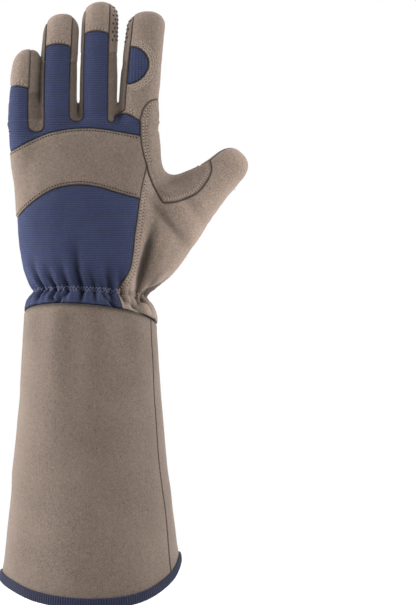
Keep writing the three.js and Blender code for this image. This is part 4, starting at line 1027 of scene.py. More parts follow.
class Sewn:
    """The glove above the cuff: one skin, its seams, and the panels that they leave."""

    def __init__(self, pitch):
        field = glove_field(pitch)
        points, triangles = field.skin()
        for _ in range(SKIN_ROUNDS):
            distance, slope = field.sample(points)
            steepness = np.maximum((slope * slope).sum(axis=1), LEAST_SLOPE)[:, None]
            points = points - distance[:, None] * slope / steepness
            points = relaxed(points, triangles, 1, SKIN_RELAX)
        self.rest = relaxed(points, triangles, 2, SKIN_SMOOTH)
        self.normal = relaxed(normals_of(self.rest, triangles), triangles, 1)
        self.triangles = triangles
        self.panels = {}

    def score(self, values, triangles):
        """Cuts some triangles along the zero line of values; the points come to belong to the whole skin."""
        pairs, share, held, left, _ = cut(values, triangles, len(self.rest))
        self.rest = np.vstack([self.rest, between(self.rest, pairs, share)])
        self.normal = np.vstack([self.normal, between(self.normal, pairs, share)])
        return held, left

    def seam_side(self):
        return side_seam_y(self.rest[:, 0], self.rest[:, 2]) - self.rest[:, 1]

    def values_for(self, outline, side, inset=0.0):
        values = signed_distance(self.rest[:, [0, 2]], outline)
        if side == "back":
            values = np.minimum(values, self.seam_side())
        if side == "palm":
            values = np.minimum(values, -self.seam_side() - inset)
        return values

    def cut_panels(self):
        """Trims the skin at the cuff's seam, then takes one panel after another out of what is left."""
        _, c, s, *_ = hand_place(*self.rest.T)
        left, _ = self.score(self.rest[:, 2] - cuff_seam_at(c, s) - SEAM_GAP, self.triangles)
        plan = [("index_flex_insert", flex_outline(), "back"), ("thumb_saddle", saddle_outline(), "back"),
                ("index_back", index_back_outline(), "back")]
        plan += [(f"{name}_fingertip", cap_outline(FINGERS[name]), "back") for name in NAMES[:3]]
        plan += [("finger_back_knit", knit_outline(), "back"), ("knuckle_band", band_outline(), "back"),
                 ("back_panel", back_outline(), "back"), ("thumb_back", thumb_back_outline(), "back")]
        plan += [(f"{name}_grip_patch", tip_patch_outline(i), "both") for i, name in enumerate(NAMES)]
        plan += [("thumb_grip_patch", thumb_patch_outline(), "palm"), ("palm", palm_outline(), "palm")]
        plan += [(f"gusset_{NAMES[i]}_{NAMES[i + 1]}", gusset_outline(i), "both") for i in range(3)]
        for name, outline, side in plan:
            held, left = self.score(self.values_for(outline, side), left)
            self.panels[name] = held
        self.panels[None] = left
        self.tidy_scraps()

    def tidy_scraps(self):
        """Gives each loose scrap to the panel that it borders most, so that every panel is one body."""
        scraps = []
        for name, triangles in self.panels.items():
            bodies = connected(triangles)
            keep = 0 if name is None else 1
            if bodies:
                self.panels[name] = bodies[0] if keep else triangles[:0]
            scraps += bodies[keep:]
        self.panels.pop(None)
        for scrap in sorted(scraps, key=len, reverse=True):
            mine = {tuple(edge) for edge in np.sort(edges_of(scrap), axis=1)}
            shared = {}
            for name, triangles in self.panels.items():
                near = triangles[np.isin(triangles, scrap).sum(axis=1) >= 2]
                shared[name] = sum(tuple(edge) in mine for edge in np.sort(edges_of(near), axis=1))
            best = max(shared, key=shared.get)
            if shared[best]:
                self.panels[best] = np.vstack([self.panels[best], scrap])


def connected(triangles):
    """Bodies of triangles that share points, the largest first."""
    if not len(triangles):
        return []
    used, local = np.unique(triangles, return_inverse=True)
    local = local.reshape(-1, 3)
    group = np.arange(len(used))
    while True:
        low = group[local].min(axis=1)
        new = group.copy()
        for k in range(3):
            np.minimum.at(new, local[:, k], low)
        new = new[new]
        if (new == group).all():
            break
        group = new
    label = group[local[:, 0]]
    names, sizes = np.unique(label, return_counts=True)
    return [triangles[label == name] for name in names[np.argsort(-sizes)]]


def boundary_of(triangles):
    """Edges that only one triangle has, in that triangle's direction."""
    edges = edges_of(triangles)
    _, where, count = np.unique(np.sort(edges, axis=1), axis=0, return_inverse=True, return_counts=True)
    return edges[count[where.reshape(-1)] == 1]


def welded(points, triangles, reach):
    """Triangles without the tiny ones that cutting leaves."""
    mesh = bmesh.new()
    verts = [mesh.verts.new(p) for p in points]
    mesh.verts.index_update()
    target = np.arange(len(points))
    for vert, kept in bmesh.ops.find_doubles(mesh, verts=verts, dist=reach)["targetmap"].items():
        target[vert.index] = kept.index
    mesh.free()
    triangles = target[triangles]
    a, b, c = triangles.T
    triangles = triangles[(a != b) & (b != c) & (c != a)]
    _, first = np.unique(np.sort(triangles, axis=1), axis=0, return_index=True)
    return triangles[np.sort(first)]


def tree_of(points):
    tree = KDTree(len(points))
    for i, place in enumerate(points):
        tree.insert(place, i)
    tree.balance()
    return tree


def nearest_on(points, others, labels):
    """For each point, the distance to the nearest of the others and that one's label."""
    tree = tree_of(others)
    found = [tree.find(p) for p in points]
    return np.array([f[2] for f in found]), labels[np.array([f[1] for f in found])]


def grid_triangles(rows, columns, round_rows=False, round_columns=False):
    """Triangles over a grid of points that may close on itself either way."""
    i, j = np.meshgrid(np.arange(rows if round_rows else rows - 1),
                       np.arange(columns if round_columns else columns - 1), indexing="ij")
    i, j = i.ravel(), j.ravel()
    at = [((i + di) % rows) * columns + (j + dj) % columns for di, dj in ((0, 0), (0, 1), (1, 1), (1, 0))]
    return np.vstack([np.c_[at[0], at[1], at[2]], np.c_[at[0], at[2], at[3]]])


def closed_shell(outer, inner, triangles):
    """An outer and an inner skin of the same triangles, joined along their borders."""
    count = len(outer)
    rim = boundary_of(triangles)
    a, b = rim.T
    sides = np.vstack([np.c_[b, a, a + count], np.c_[b, a + count, b + count]])
    return np.vstack([outer, inner]), np.vstack([triangles, triangles[:, ::-1] + count, sides])


def new_object(name, data):
    """A new object in the scene, at the origin."""
    piece = bpy.data.objects.new(name, data)
    bpy.context.scene.collection.objects.link(piece)
    return piece


def add_mesh(name, points, triangles, material, uv=None, seam=None):
    """A plain mesh object at the origin, smooth, from points in millimetres."""
    used, local = np.unique(triangles, return_inverse=True)
    triangles = local.reshape(-1, 3)
    mesh = bpy.data.meshes.new(name)
    mesh.vertices.add(len(used))
    mesh.vertices.foreach_set("co", (points[used] * MM).astype(np.float32).ravel())
    mesh.loops.add(triangles.size)
    mesh.loops.foreach_set("vertex_index", triangles.astype(np.int32).ravel())
    mesh.polygons.add(len(triangles))
    mesh.polygons.foreach_set("loop_start", np.arange(0, triangles.size, 3, dtype=np.int32))
    mesh.update(calc_edges=True)
    if uv is not None:
        layer = mesh.uv_layers.new(name="cloth")
        layer.data.foreach_set("uv", uv[used][triangles.ravel()].astype(np.float32).ravel())
    if seam is not None:
        mesh.attributes.new("seam", "FLOAT", "POINT").data.foreach_set("value", seam[used].astype(np.float32))
    mesh.validate()
    mesh.polygons.foreach_set("use_smooth", np.ones(len(mesh.polygons), bool))
    mesh.materials.append(material)
    return new_object(name, mesh)


def dress(piece, slot, *nodes):
    """Says what a finished piece rides on and hides the parts that it stands for. The slot is not used."""
    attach(piece, "root")
    if nodes:
        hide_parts(*nodes)
    return piece


def rolled(share):
    """How far a rolled edge has sunk, for the share of the way from its inner line out to the seam."""
    return 1 - np.sqrt(1 - share**2 * ROLL_ROUND)


def beside_any(label, neighbours):
    """Which points lie beside some neighbours, or all where none are named."""
    return np.isin(label, neighbours) if neighbours else np.ones(len(label), bool)


class Panel:
    """One sewn panel: its skin with rolled edges, how far it is from the seams, and a wall behind it."""

    def __init__(self, rest, draped, out, painted_valley_shade, triangles, rims, labels, look):
        self.look = look
        used, local = np.unique(triangles, return_inverse=True)
        self.triangles = local.reshape(-1, 3)
        distance, label = nearest_on(draped[used], rims, labels)
        # Rows: rest place, draped place, outward direction, distance from the seams, and painted shade of the
        # valleys.
        self.rows = np.c_[rest[used], draped[used], out[used], distance, painted_valley_shade[used]]
        self.label = label
        for share in ROLL_LINES:
            self.score(share * look["radius"])
        self.triangles = welded(self.rows[:, 3:6], self.triangles, WELD_REACH)
        self.shape()

    def beyond(self, offset):
        """How much further than the offset each point is from the seams, and never quite nothing."""
        values = self.rows[:, 9] - offset
        return np.where(np.abs(values) < LEAST_STEP, LEAST_STEP, values)

    def score(self, offset):
        """Adds points along the line that lies a distance in from the seams."""
        pairs, share, held, left, _ = cut(self.beyond(offset), self.triangles, len(self.rows))
        self.rows = np.vstack([self.rows, between(self.rows, pairs, share)])
        self.label = np.r_[self.label, self.label[pairs[:, 0]]]
        self.triangles = np.vstack([held, left])

    def by_level_seam(self):
        """Where the seam is one between two gussets or tip patches, which lie level with each other."""
        return np.char.startswith(self.label, "gusset") | np.char.endswith(self.label, "grip_patch")

    def shape(self):
        """Works out the outer and the inner skin."""
        look = self.look
        draped, out, distance = self.rows[:, 3:6], unit(self.rows[:, 6:9]), self.rows[:, 9]
        share = np.clip(1 - distance / look["radius"], 0, 1)
        sunk = look["depth"] * np.where(self.by_level_seam() & look["level"], LEVEL_DEPTH, 1)
        height = look["lift"] - sunk * rolled(share)
        height += look["puff"] * smoothstep(distance, look["radius"] * PUFF_FROM, PUFF_REACH)
        for neighbours, offsets, _ in look["rows"]:
            for offset in offsets:
                groove = np.exp(-(((distance - offset) / GROOVE_WIDTH) ** 2))
                height -= GROOVE_DEPTH * groove * beside_any(self.label, neighbours)
        rim = np.unique(boundary_of(self.triangles))
        step = relaxed(draped, self.triangles, 1, RIM_SMOOTH)[rim] - draped[rim]
        length = np.linalg.norm(step, axis=1)[:, None]
        shift = np.zeros_like(draped)
        shift[rim] = step / np.maximum(length, 1e-6) * np.minimum(length, RIM_STEP)
        self.outer = draped + shift + out * height[:, None]
        self.inner = draped + shift - out * (look["wall"] - look["lift"])
        self.out = normals_of(self.outer, self.triangles)

    def build(self, name, material):
        """The closed piece, with its lengths for the weave and the painted shade of its seams and valleys."""
        points, triangles = closed_shell(self.outer, self.inner, self.triangles)
        uv = cloth_uv(self.rows[:, :3])
        # Darker towards the seams: a dark seam line and painted shade in the rolled groove.
        shade = np.where(self.by_level_seam(), LEVEL_SHADES[self.look["level"]], 1)
        seam = np.exp(-((self.rows[:, 9] / SEAM_SHADE_WIDTH) ** 2)) * shade
        # Painted shade of the pleat and fold valleys is added to the seams' darkening.
        seam = np.clip(seam + self.rows[:, 10] * VALLEY_SHADE, 0, 1)
        return add_mesh(name, points, triangles, material, np.vstack([uv, uv]), np.r_[seam, seam])

    def line(self, offset, neighbours):
        """Lines on the outer skin a distance in from the seams beside some neighbours: lists of rows."""
        pairs, share, _, _, segments = cut(self.beyond(offset), self.triangles, len(self.rows))
        places = between(np.c_[self.outer, self.out], pairs, share)
        segments = segments - len(self.rows)
        keep = beside_any(self.label[pairs[:, 0]], neighbours)[segments].all(axis=1)
        return [places[chain] for chain in chains(segments[keep]) if len(chain) >= LEAST_CHAIN]


def chains(segments):
    """Puts loose segments end to end."""
    links = {}
    for a, b in segments.tolist():
        links.setdefault(a, []).append(b)
        links.setdefault(b, []).append(a)
    seen, found = set(), []
    starts = [a for a in links if len(links[a]) == 1] + list(links)
    for start in starts:
        if start in seen:
            continue
        chain, here = [start], start
        seen.add(start)
        while True:
            onward = [b for b in links[here] if b not in seen]
            if not onward:
                break
            here = onward[0]
            seen.add(here)
            chain.append(here)
        if len(chain) > 2 and chain[0] in links[chain[-1]]:
            chain.append(chain[0])
        found.append(chain)
    return found


def spaced(line, pitch, smooth=6):
    """Even places along a line of rows, each with its place, outward direction and direction along."""
    places, out = line[:, :3].copy(), line[:, 3:6].copy()
    for _ in range(smooth):
        places[1:-1] = (places[:-2] + 2 * places[1:-1] + places[2:]) / 4
        out[1:-1] = (out[:-2] + 2 * out[1:-1] + out[2:]) / 4
    steps = steps_along(places)
    keep = np.r_[True, np.diff(steps) > 1e-6]
    steps, places, out = steps[keep], places[keep], out[keep]
    if len(steps) < 2 or steps[-1] < pitch * 2:
        return None
    at = np.arange(pitch / 2, steps[-1], pitch)
    place, normal = (np.c_[[np.interp(at, steps, part[:, k]) for k in range(3)]].T for part in (places, out))
    return np.c_[place, unit(normal), unit(np.gradient(place, axis=0))]


class Value:
    """A shader socket that adds Math nodes when it is used in an expression."""

    def __init__(self, finish, socket):
        self.finish, self.socket = finish, socket

    def maths(self, operation, *others):
        values = {i: other for i, other in enumerate(others)}
        return self.finish.node("ShaderNodeMath", {"operation": operation}, values)

    def __add__(self, other):
        return self.maths("ADD", self, other)

    def __sub__(self, other):
        return self.maths("SUBTRACT", self, other)

    def __rsub__(self, other):
        return self.maths("SUBTRACT", other, self)

    def __mul__(self, other):
        return self.maths("MULTIPLY", self, other)

    __radd__ = __add__
    __rmul__ = __mul__

    def wave(self, pitch):
        """Ridges from 0 to 1, a pitch apart."""
        return self.maths("SINE", self * (2 * math.pi / pitch)) * 0.5 + 0.5


class Finish:
    """A material being made. One method adds any node; values and colours are worked out from sockets."""

    def __init__(self, name, roughness, sheen=0.0):
        self.material = bpy.data.materials.new(name)
        self.material.use_nodes = True
        self.tree = self.material.node_tree
        self.tree.nodes.clear()
        self.shader = self.tree.nodes.new("ShaderNodeBsdfPrincipled")
        output = self.tree.nodes.new("ShaderNodeOutputMaterial")
        self.tree.links.new(self.shader.outputs["BSDF"], output.inputs["Surface"])
        settings = {"Roughness": roughness, "Specular IOR Level": 0.25, "Sheen Weight": sheen,
                    "Sheen Roughness": 0.55}
        for key, value in settings.items():
            self.set(key, value)

    def node(self, kind, settings=None, values=None, output=0):
        """Adds a node: settings first, then the values or links of its sockets; returns one output."""
        node = self.tree.nodes.new(kind)
        for key, setting in (settings or {}).items():
            setattr(node, key, setting)
        for key, value in (values or {}).items():
            self.feed(node.inputs[key], value)
        return Value(self, node.outputs[output])

    def feed(self, socket, value):
        if isinstance(value, Value):
            self.tree.links.new(value.socket, socket)
        else:
            socket.default_value = value

    def set(self, name, value):
        """Sets or links one of the shader's own sockets."""
        self.feed(self.shader.inputs[name], value)

    def place(self):
        return self.node("ShaderNodeTexCoord", output="Object")

    def noise(self, size, detail=2.0, stretch=None):
        """Noise between 0 and 1 whose blots are about this wide, in metres."""
        place = self.place()
        if stretch:
            place = self.node("ShaderNodeMapping", values={0: place, "Scale": stretch})
        return self.node("ShaderNodeTexNoise", values={"Vector": place, "Scale": 1 / size, "Detail": detail})

    def attribute(self, name):
        return self.node("ShaderNodeAttribute", {"attribute_name": name}, output="Fac")

    def mix(self, low, high, share):
        """A colour between two others."""
        return self.node("ShaderNodeMix", {"data_type": "RGBA"}, {0: share, 6: low, 7: high}, output=2)

    def dye(self, colour, low, high, share, painted_shade_tone, painted_shade_share):
        """The colour of a cloth, from darker to lighter by share, darkened by the seam attribute: dark seam
        lines and painted shade in seams and valleys.
        """
        body = self.mix(linear(colour, low), linear(colour, high), share)
        seam = self.attribute("seam")
        self.set("Base Color", self.mix(body, linear(colour, painted_shade_tone), seam * painted_shade_share))

    def bump(self, height, distance, strength=1.0):
        values = {"Height": height, "Distance": distance, "Strength": strength}
        self.set("Normal", self.node("ShaderNodeBump", values=values))


def linear(colour, factor=1.0):
    """A colour as the shader takes it, from screen values between 0 and 1."""
    parts = [c / 12.92 if c <= 0.04045 else ((c + 0.055) / 1.055) ** 2.4 for c in colour]
    return tuple(min(1.0, part * factor) for part in parts) + (1.0,)


def suede(name, colour, painted_light_tone=1.0):
    """Synthetic suede: matt, with fine grain, brushed nap and soft clouding, with dark seam lines and painted
    shade in its seams and valleys.
    """
    cloth = Finish(name, 0.92, 0.4)
    cloth.set("Sheen Tint", linear((0.86, 0.8, 0.76)))
    grain = cloth.noise(0.0008, 2.0)
    nap = cloth.noise(0.0021, 2.0, (1.0, 1.0, 0.8))
    cloud = cloth.noise(0.034, 1.0)
    share = (grain - 0.5) * 1.9 + (nap - 0.5) * 0.45 + (cloud - 0.5) * 0.5 + 0.5
    cloth.dye(colour, 0.62 * painted_light_tone, 1.4 * painted_light_tone, share, 0.07, 0.93)
    cloth.set("Roughness", 0.86 + nap * 0.12)
    cloth.bump(grain * 0.6 + nap * 0.5, 0.0005, 0.5)
    return cloth.material


def knit(name, colour, rib, course, rib_share=0.35):
    """Fine stretch knit: ribs up the hand crossed by courses, with a soft unevenness, dark seam lines and
    painted shade in its seams and valleys.
    """
    cloth = Finish(name, 0.88, 0.16)
    cloth.set("Sheen Tint", linear((0.6, 0.65, 0.85)))
    place = cloth.node("ShaderNodeUVMap", {"uv_map": "cloth"})
    parts = cloth.tree.nodes.new("ShaderNodeSeparateXYZ")
    cloth.feed(parts.inputs[0], place)
    across, up = Value(cloth, parts.outputs[0]), Value(cloth, parts.outputs[1])
    sway = cloth.noise(0.02, 1.0)
    ribs = (across + sway * 0.0012).wave(rib)
    courses = (up + sway * 0.0012).wave(course)
    loops = ribs * rib_share + courses * (1 - rib_share)
    fuzz = cloth.noise(0.0008, 2.0)
    cloud = cloth.noise(0.022, 2.0)
    share = loops * 0.9 + (fuzz - 0.5) * 1.1 + (cloud - 0.5) * 0.4 + 0.02
    cloth.dye(colour, 0.62, 1.4, share, 0.06, 0.93)
    cloth.set("Roughness", 0.82 + fuzz * 0.14)
    cloth.bump(loops * 0.8 + fuzz * 0.5, 0.0005, 0.6)
    return cloth.material


def tape(name, colour, rib):
    """Ribbed binding tape, with painted shade between its ribs."""
    cloth = Finish(name, 0.85, 0.1)
    fuzz = cloth.noise(0.0007, 2.0)
    cloud = cloth.noise(0.012, 2.0)
    cloth.dye(colour, 0.6, 1.5, fuzz * 0.8 + (cloud - 0.5) * 0.7 + 0.1, 0.2, 0.7)
    cloth.bump(fuzz, rib * 0.2, 0.5)
    return cloth.material


def thread(name, colour, roughness=0.7):
    """Twisted sewing thread, or small rubber dots when it is dark and smoother."""
    cord = Finish(name, roughness)
    twist = cord.noise(0.0005, 1.0)
    cord.set("Base Color", cord.mix(linear(colour, 0.75), linear(colour, 1.2), twist))
    cord.set("Roughness", roughness - 0.05 + twist * 0.1)
    cord.bump(twist, 0.0002, 0.4)
    return cord.material


def plain(name, colour, roughness):
    """A plain studio surface with the faintest clouding."""
    card = Finish(name, roughness)
    cloud = card.noise(0.4, 1.0)
    card.set("Base Color", card.mix(linear(colour, 0.98), linear(colour, 1.0), cloud))
    return card.material


class Tree:
    """A geometry node tree being made, with named inputs."""

    def __init__(self, name, inputs):
        self.group = bpy.data.node_groups.new(name, "GeometryNodeTree")
        face = self.group.interface
        face.new_socket("Geometry", in_out="INPUT", socket_type="NodeSocketGeometry")
        face.new_socket("Geometry", in_out="OUTPUT", socket_type="NodeSocketGeometry")
        self.keys = {}
        for label, kind in inputs.items():
            self.keys[label] = face.new_socket(label, in_out="INPUT", socket_type=kind).identifier
        self.entry = self.group.nodes.new("NodeGroupInput")
        self.leave = self.group.nodes.new("NodeGroupOutput")

    def given(self, label="Geometry"):
        return self.entry.outputs[label]

    def node(self, kind, values, **settings):
        """Adds a node: settings first, then the values or links of its sockets; returns its first output."""
        node = self.group.nodes.new(kind)
        for key, setting in settings.items():
            setattr(node, key, setting)
        for key, value in values.items():
            if isinstance(value, bpy.types.NodeSocket):
                self.group.links.new(value, node.inputs[key])
            else:
                node.inputs[key].default_value = value
        return next(socket for socket in node.outputs if socket.enabled)

    def named(self, name):
        return self.node("GeometryNodeInputNamedAttribute", {"Name": name}, data_type="FLOAT_VECTOR")

    def finish(self, geometry):
        self.group.links.new(geometry, self.leave.inputs["Geometry"])
        return self


def stitch_tree():
    """Beads of thread on points: each lies along its stitch and stands on the cloth."""
    sizes_in = {label: "NodeSocketFloat" for label in ("Length", "Width", "Height")}
    tree = Tree("Stitches", {**sizes_in, "Sides": "NodeSocketInt", "Thread": "NodeSocketMaterial"})
    length_in, width_in, height_in, sides_in, thread_in = (tree.given(label) for label in tree.keys)
    bead = tree.node("GeometryNodeMeshUVSphere", {"Segments": sides_in, "Rings": BEAD_RINGS, "Radius": 0.5})
    size = tree.node("ShaderNodeCombineXYZ", {"X": length_in, "Y": width_in, "Z": height_in})
    shape = tree.node("GeometryNodeTransform", {"Geometry": bead, "Scale": size})
    turn_kind = "FunctionNodeAlignRotationToVector"
    stand = tree.node(turn_kind, {"Vector": tree.named("out")}, axis="Z")
    lie = tree.node(turn_kind, {"Rotation": stand, "Vector": tree.named("along")}, axis="X", pivot_axis="Z")
    spots = {"Points": tree.given(), "Instance": shape, "Rotation": lie}
    spread = tree.node("GeometryNodeInstanceOnPoints", spots)
    solid = tree.node("GeometryNodeRealizeInstances", {"Geometry": spread})
    coat = tree.node("GeometryNodeSetMaterial", {"Geometry": solid, "Material": thread_in})
    return tree.finish(tree.node("GeometryNodeSetShadeSmooth", {"Geometry": coat}))


def beads(name, rows, bead, material, sides=8):
    """One object of beads, each of a length, width and height, at rows of place, outwards and along."""
    mesh = bpy.data.meshes.new(name)
    mesh.vertices.add(len(rows))
    mesh.vertices.foreach_set("co", (rows[:, :3] * MM).astype(np.float32).ravel())
    for label, part in (("out", rows[:, 3:6]), ("along", rows[:, 6:9])):
        layer = mesh.attributes.new(label, "FLOAT_VECTOR", "POINT")
        layer.data.foreach_set("vector", part.astype(np.float32).ravel())
    points = new_object(f"{name}_points", mesh)
    tree = stitch_tree()
    modifier = points.modifiers.new("stitches", "NODES")
    modifier.node_group = tree.group
    for label, value in zip(("Length", "Width", "Height", "Sides", "Thread"), (*bead, sides, material)):
        modifier[tree.keys[label]] = value
    seen = points.evaluated_get(bpy.context.evaluated_depsgraph_get())
    plain_mesh = bpy.data.meshes.new_from_object(seen)
    plain_mesh.name = name
    piece = new_object(name, plain_mesh)
    points.modifiers.clear()
    bpy.data.objects.remove(points)
    return piece


def length(name, description, default):
    return bpy.props.FloatProperty(
        name=name, description=description, default=default, unit="LENGTH", precision=5)


def colour(name, description, default):
    return bpy.props.FloatVectorProperty(
        name=name, description=description, default=default, subtype="COLOR_GAMMA", size=3, min=0, max=1)


class GauntletSizes(bpy.types.PropertyGroup):
    """Sizes that change how finely the glove is made and sewn."""

    skin_pitch: length("Skin fineness", "Distance between the points of the glove's skin", 0.0011)
    stitch_pitch: length("Stitch pitch", "From one stitch of a row to the next", 0.0023)
    stitch_length: length("Stitch length", "Thread that shows between two needle holes", 0.0017)
    thread_width: length("Thread width", "Width of the sewing thread", 0.0009)
    dot_width: length("Grip dot width", "Width of a raised grip dot", 0.0016)
    dot_pitch: length("Grip dot pitch", "From one grip dot to the next", 0.0034)
    rib_pitch: length("Knit rib pitch", "From one rib of the knit to the next", 0.0014)
    binding_rib: length("Binding rib pitch", "From one rib of the hem binding to the next", 0.0016)


class GauntletColours(bpy.types.PropertyGroup):
    """Colours of the cloths, threads and floor, as they look on the screen."""

    suede: colour("Suede", "The warm grey-brown suede", (0.46, 0.405, 0.365))
    # The gussets are darker than the main suede, partly as painted shade between the fingers.
    gusset: colour("Gussets", "The suede between the fingers", (0.4, 0.35, 0.315))
    knit: colour("Knit", "The navy stretch knit", (0.2, 0.225, 0.335))
    binding: colour("Binding", "The navy hem binding", (0.17, 0.185, 0.28))
    suede_thread: colour("Suede thread", "Thread of the suede's stitch rows", (0.64, 0.58, 0.53))
    knit_thread: colour("Knit thread", "Thread of the elastic's zigzag on the knit", (0.46, 0.48, 0.57))
    hole: colour("Needle holes", "The shade inside needle holes", (0.13, 0.105, 0.09))
    dot: colour("Grip dots", "The dark rubber of the grip dots", (0.1, 0.095, 0.1))
    floor: colour("Floor", "The pale studio floor", (0.99, 0.99, 0.99))


def sizes():
    return bpy.context.scene.gauntlet_sizes


def colours():
    return bpy.context.scene.gauntlet_colours


FINISHES = {}


def finish_of(slot):
    """The material of a slot; all of them are made at the first call."""
    if not FINISHES:
        shade = colours()
        # Lighter and darker copies of the suede: painted light and shade.
        for part, painted_light_tone in SUEDE_PAINTED_LIGHT_TONES.items():
            FINISHES[f"{part}_suede"] = suede(f"{part}_suede_cloth", shade.suede, painted_light_tone)
        FINISHES["gusset_suede"] = suede("gusset_suede_cloth", shade.gusset)
        rib = sizes().rib_pitch
        FINISHES["back_knit"] = knit("back_knit_cloth", shade.knit, rib, rib * 1.15)
        FINISHES["flex_knit"] = knit("flex_knit_cloth", shade.knit, rib * 1.9, rib * 1.15, 0.55)
        FINISHES["binding_tape"] = tape("binding_tape_cloth", shade.binding, sizes().binding_rib)
    return FINISHES[slot]


def dense_rim(points, triangles):
    """Points close together along the border of some triangles."""
    ends = points[boundary_of(triangles)]
    return np.vstack([lerp(ends[:, 0], ends[:, 1], share) for share in RIM_SHARES])


def across_seam(rims, owners):
    """For each point on a panel's border, the panel on the other side, or the cuff where there is none."""
    tree = tree_of(rims)
    found = []
    for place, owner in zip(rims, owners):
        near = (owners[i] for _, i, gap in tree.find_n(place, RIM_NEIGHBOURS)
                if gap < RIM_REACH and owners[i] != owner)
        found.append(next(near, "cuff"))
    return np.array(found)


class Glove:
    """The sewn glove above the cuff, worked out once and kept for the operators."""

    sewn = None
    panels = {}
    patch = None

    @classmethod
    def cut(cls):
        if cls.sewn:
            return cls
        sewn = Sewn(sizes().skin_pitch / MM)
        whole = sewn.rest, sewn.normal, sewn.triangles
        sewn.cut_panels()
        everything = np.vstack(list(sewn.panels.values()))
        draped, painted_valley_shade = drape(sewn.rest, sewn.normal)
        draped = lerp(draped, relaxed(draped, everything, 1), 0.5)
        out = normals_of(draped, everything)
        rims = [dense_rim(draped, triangles) for triangles in sewn.panels.values()]
        owners = [name for name, rim in zip(sewn.panels, rims) for _ in rim]
        neighbours = across_seam(np.vstack(rims), owners)
        ends = np.cumsum([len(rim) for rim in rims])
        for name, rim, labels in zip(sewn.panels, rims, np.split(neighbours, ends)):
            slot, lift, rows = PANELS[name]
            cloth = "knit" if slot.endswith("knit") else "suede"
            level = name.startswith("gusset") or name.endswith("grip_patch")
            look = dict(CLOTHS[cloth], lift=lift, rows=rows, level=level)
            triangles = sewn.panels[name]
            cls.panels[name] = Panel(sewn.rest, draped, out, painted_valley_shade, triangles, rim, labels, look)
        cls.patch = cls.cut_patch(*whole)
        cls.sewn = sewn
        return cls

    @staticmethod
    def cut_patch(rest, normal, triangles):
        """The second layer on the palm."""
        whole = Sewn.__new__(Sewn)
        whole.rest, whole.normal, whole.triangles = rest, normal, triangles
        held, _ = whole.score(whole.values_for(palm_patch_outline(), "palm", PATCH_INSET), triangles)
        held = connected(held)[0]
        draped, painted_valley_shade = drape(whole.rest, whole.normal)
        out = normals_of(draped, held)
        dense = dense_rim(draped, held)
        labels = np.array(["palm"] * len(dense))
        look = dict(CLOTHS["patch"], lift=PATCH_LIFT, rows=PATCH_ROWS, level=False)
        return Panel(whole.rest, draped, out, painted_valley_shade, held, dense, labels, look)


def stitch_rows(panel, wanted, pitch):
    """Rows for the beads of one kind of stitching on a panel, with the needle holes between them."""
    stitches, holes = [], []
    rows_wanted = [(beside, offsets) for beside, offsets, kind in panel.look["rows"] if kind == wanted]
    runs = [(offset, beside) for beside, offsets in rows_wanted for offset in offsets]
    for line in (line for run in runs for line in panel.line(*run)):
        if wanted == "ladder":
            line = line[line[:, 0] > LADDER_FROM]
        rows = spaced(line, pitch) if len(line) >= LEAST_LINE else None
        if rows is not None:
            stitches.append(turned(rows, STITCH_TURN[wanted]))
            holes.append((rows[:-1] + rows[1:]) / 2)
    return stitches, holes


def turned(rows, angle):
    """Rows whose direction along leans to one side and the other by turns."""
    rows = rows.copy()
    out, along = rows[:, 3:6], rows[:, 6:9]
    sides = np.where(np.arange(len(rows)) % 2, 1.0, -1.0)[:, None] * math.radians(angle)
    rows[:, 6:9] = along * np.cos(sides) + np.cross(out, along) * np.sin(sides)
    return rows


def outer_tree(panels):
    """A search tree over the panels' outer skins, with the panel that each face is of."""
    points, faces, owner, count = [], [], [], 0
    for name, panel in panels.items():
        points.append(panel.outer)
        faces.append(panel.triangles + count)
        owner += [name] * len(panel.triangles)
        count += len(panel.outer)
    tree = BVHTree.FromPolygons(np.vstack(points).tolist(), np.vstack(faces).tolist())
    return tree, owner


def elastic_rows(panels, lead):
    """Places along a zigzag thread over the elastic round the gathered wrist, and the panel of each."""
    tree, owner = outer_tree(panels)
    found, names = [], []
    count = ELASTIC_ZIGZAGS * ELASTIC_STEPS
    for step in range(count):
        turn = 2 * math.pi * step / count
        c, s = math.cos(turn), math.sin(turn)
        phase = (step / ELASTIC_STEPS + lead) % 1
        height = wrist_at(c, s) + ELASTIC_RISE * (4 * abs(phase - 0.5) - 1)
        start = Vector((c * WRIST[0], s * WRIST[1], height))
        hit, normal, face, _ = tree.ray_cast(start, Vector((-c * WRIST[0], -s * WRIST[1], 0)).normalized())
        if hit:
            found.append([*hit, *normal])
            names.append(owner[face])
    found = np.array(found)
    found[:, :3] += found[:, 3:6] * ELASTIC_STAND
    along = np.roll(found[:, :3], -1, axis=0) - np.roll(found[:, :3], 1, axis=0)
    return np.c_[found, unit(along)], np.array(names)


def dot_rows(panel, places, aims, facing):
    """Rows for grip dots where rays meet a patch well inside its seams."""
    tree = BVHTree.FromPolygons(panel.outer.tolist(), panel.triangles.tolist())
    rows = []
    for place, aim in zip(places, aims):
        hit, normal, face, _ = tree.ray_cast(Vector(place), Vector(aim))
        if hit and normal.y > facing and panel.rows[panel.triangles[face], 9].min() > DOT_INSET:
            side = normal.cross(Vector((0, 0, 1)))
            rows.append([*hit, *normal, *side.normalized()])
    return np.array(rows)


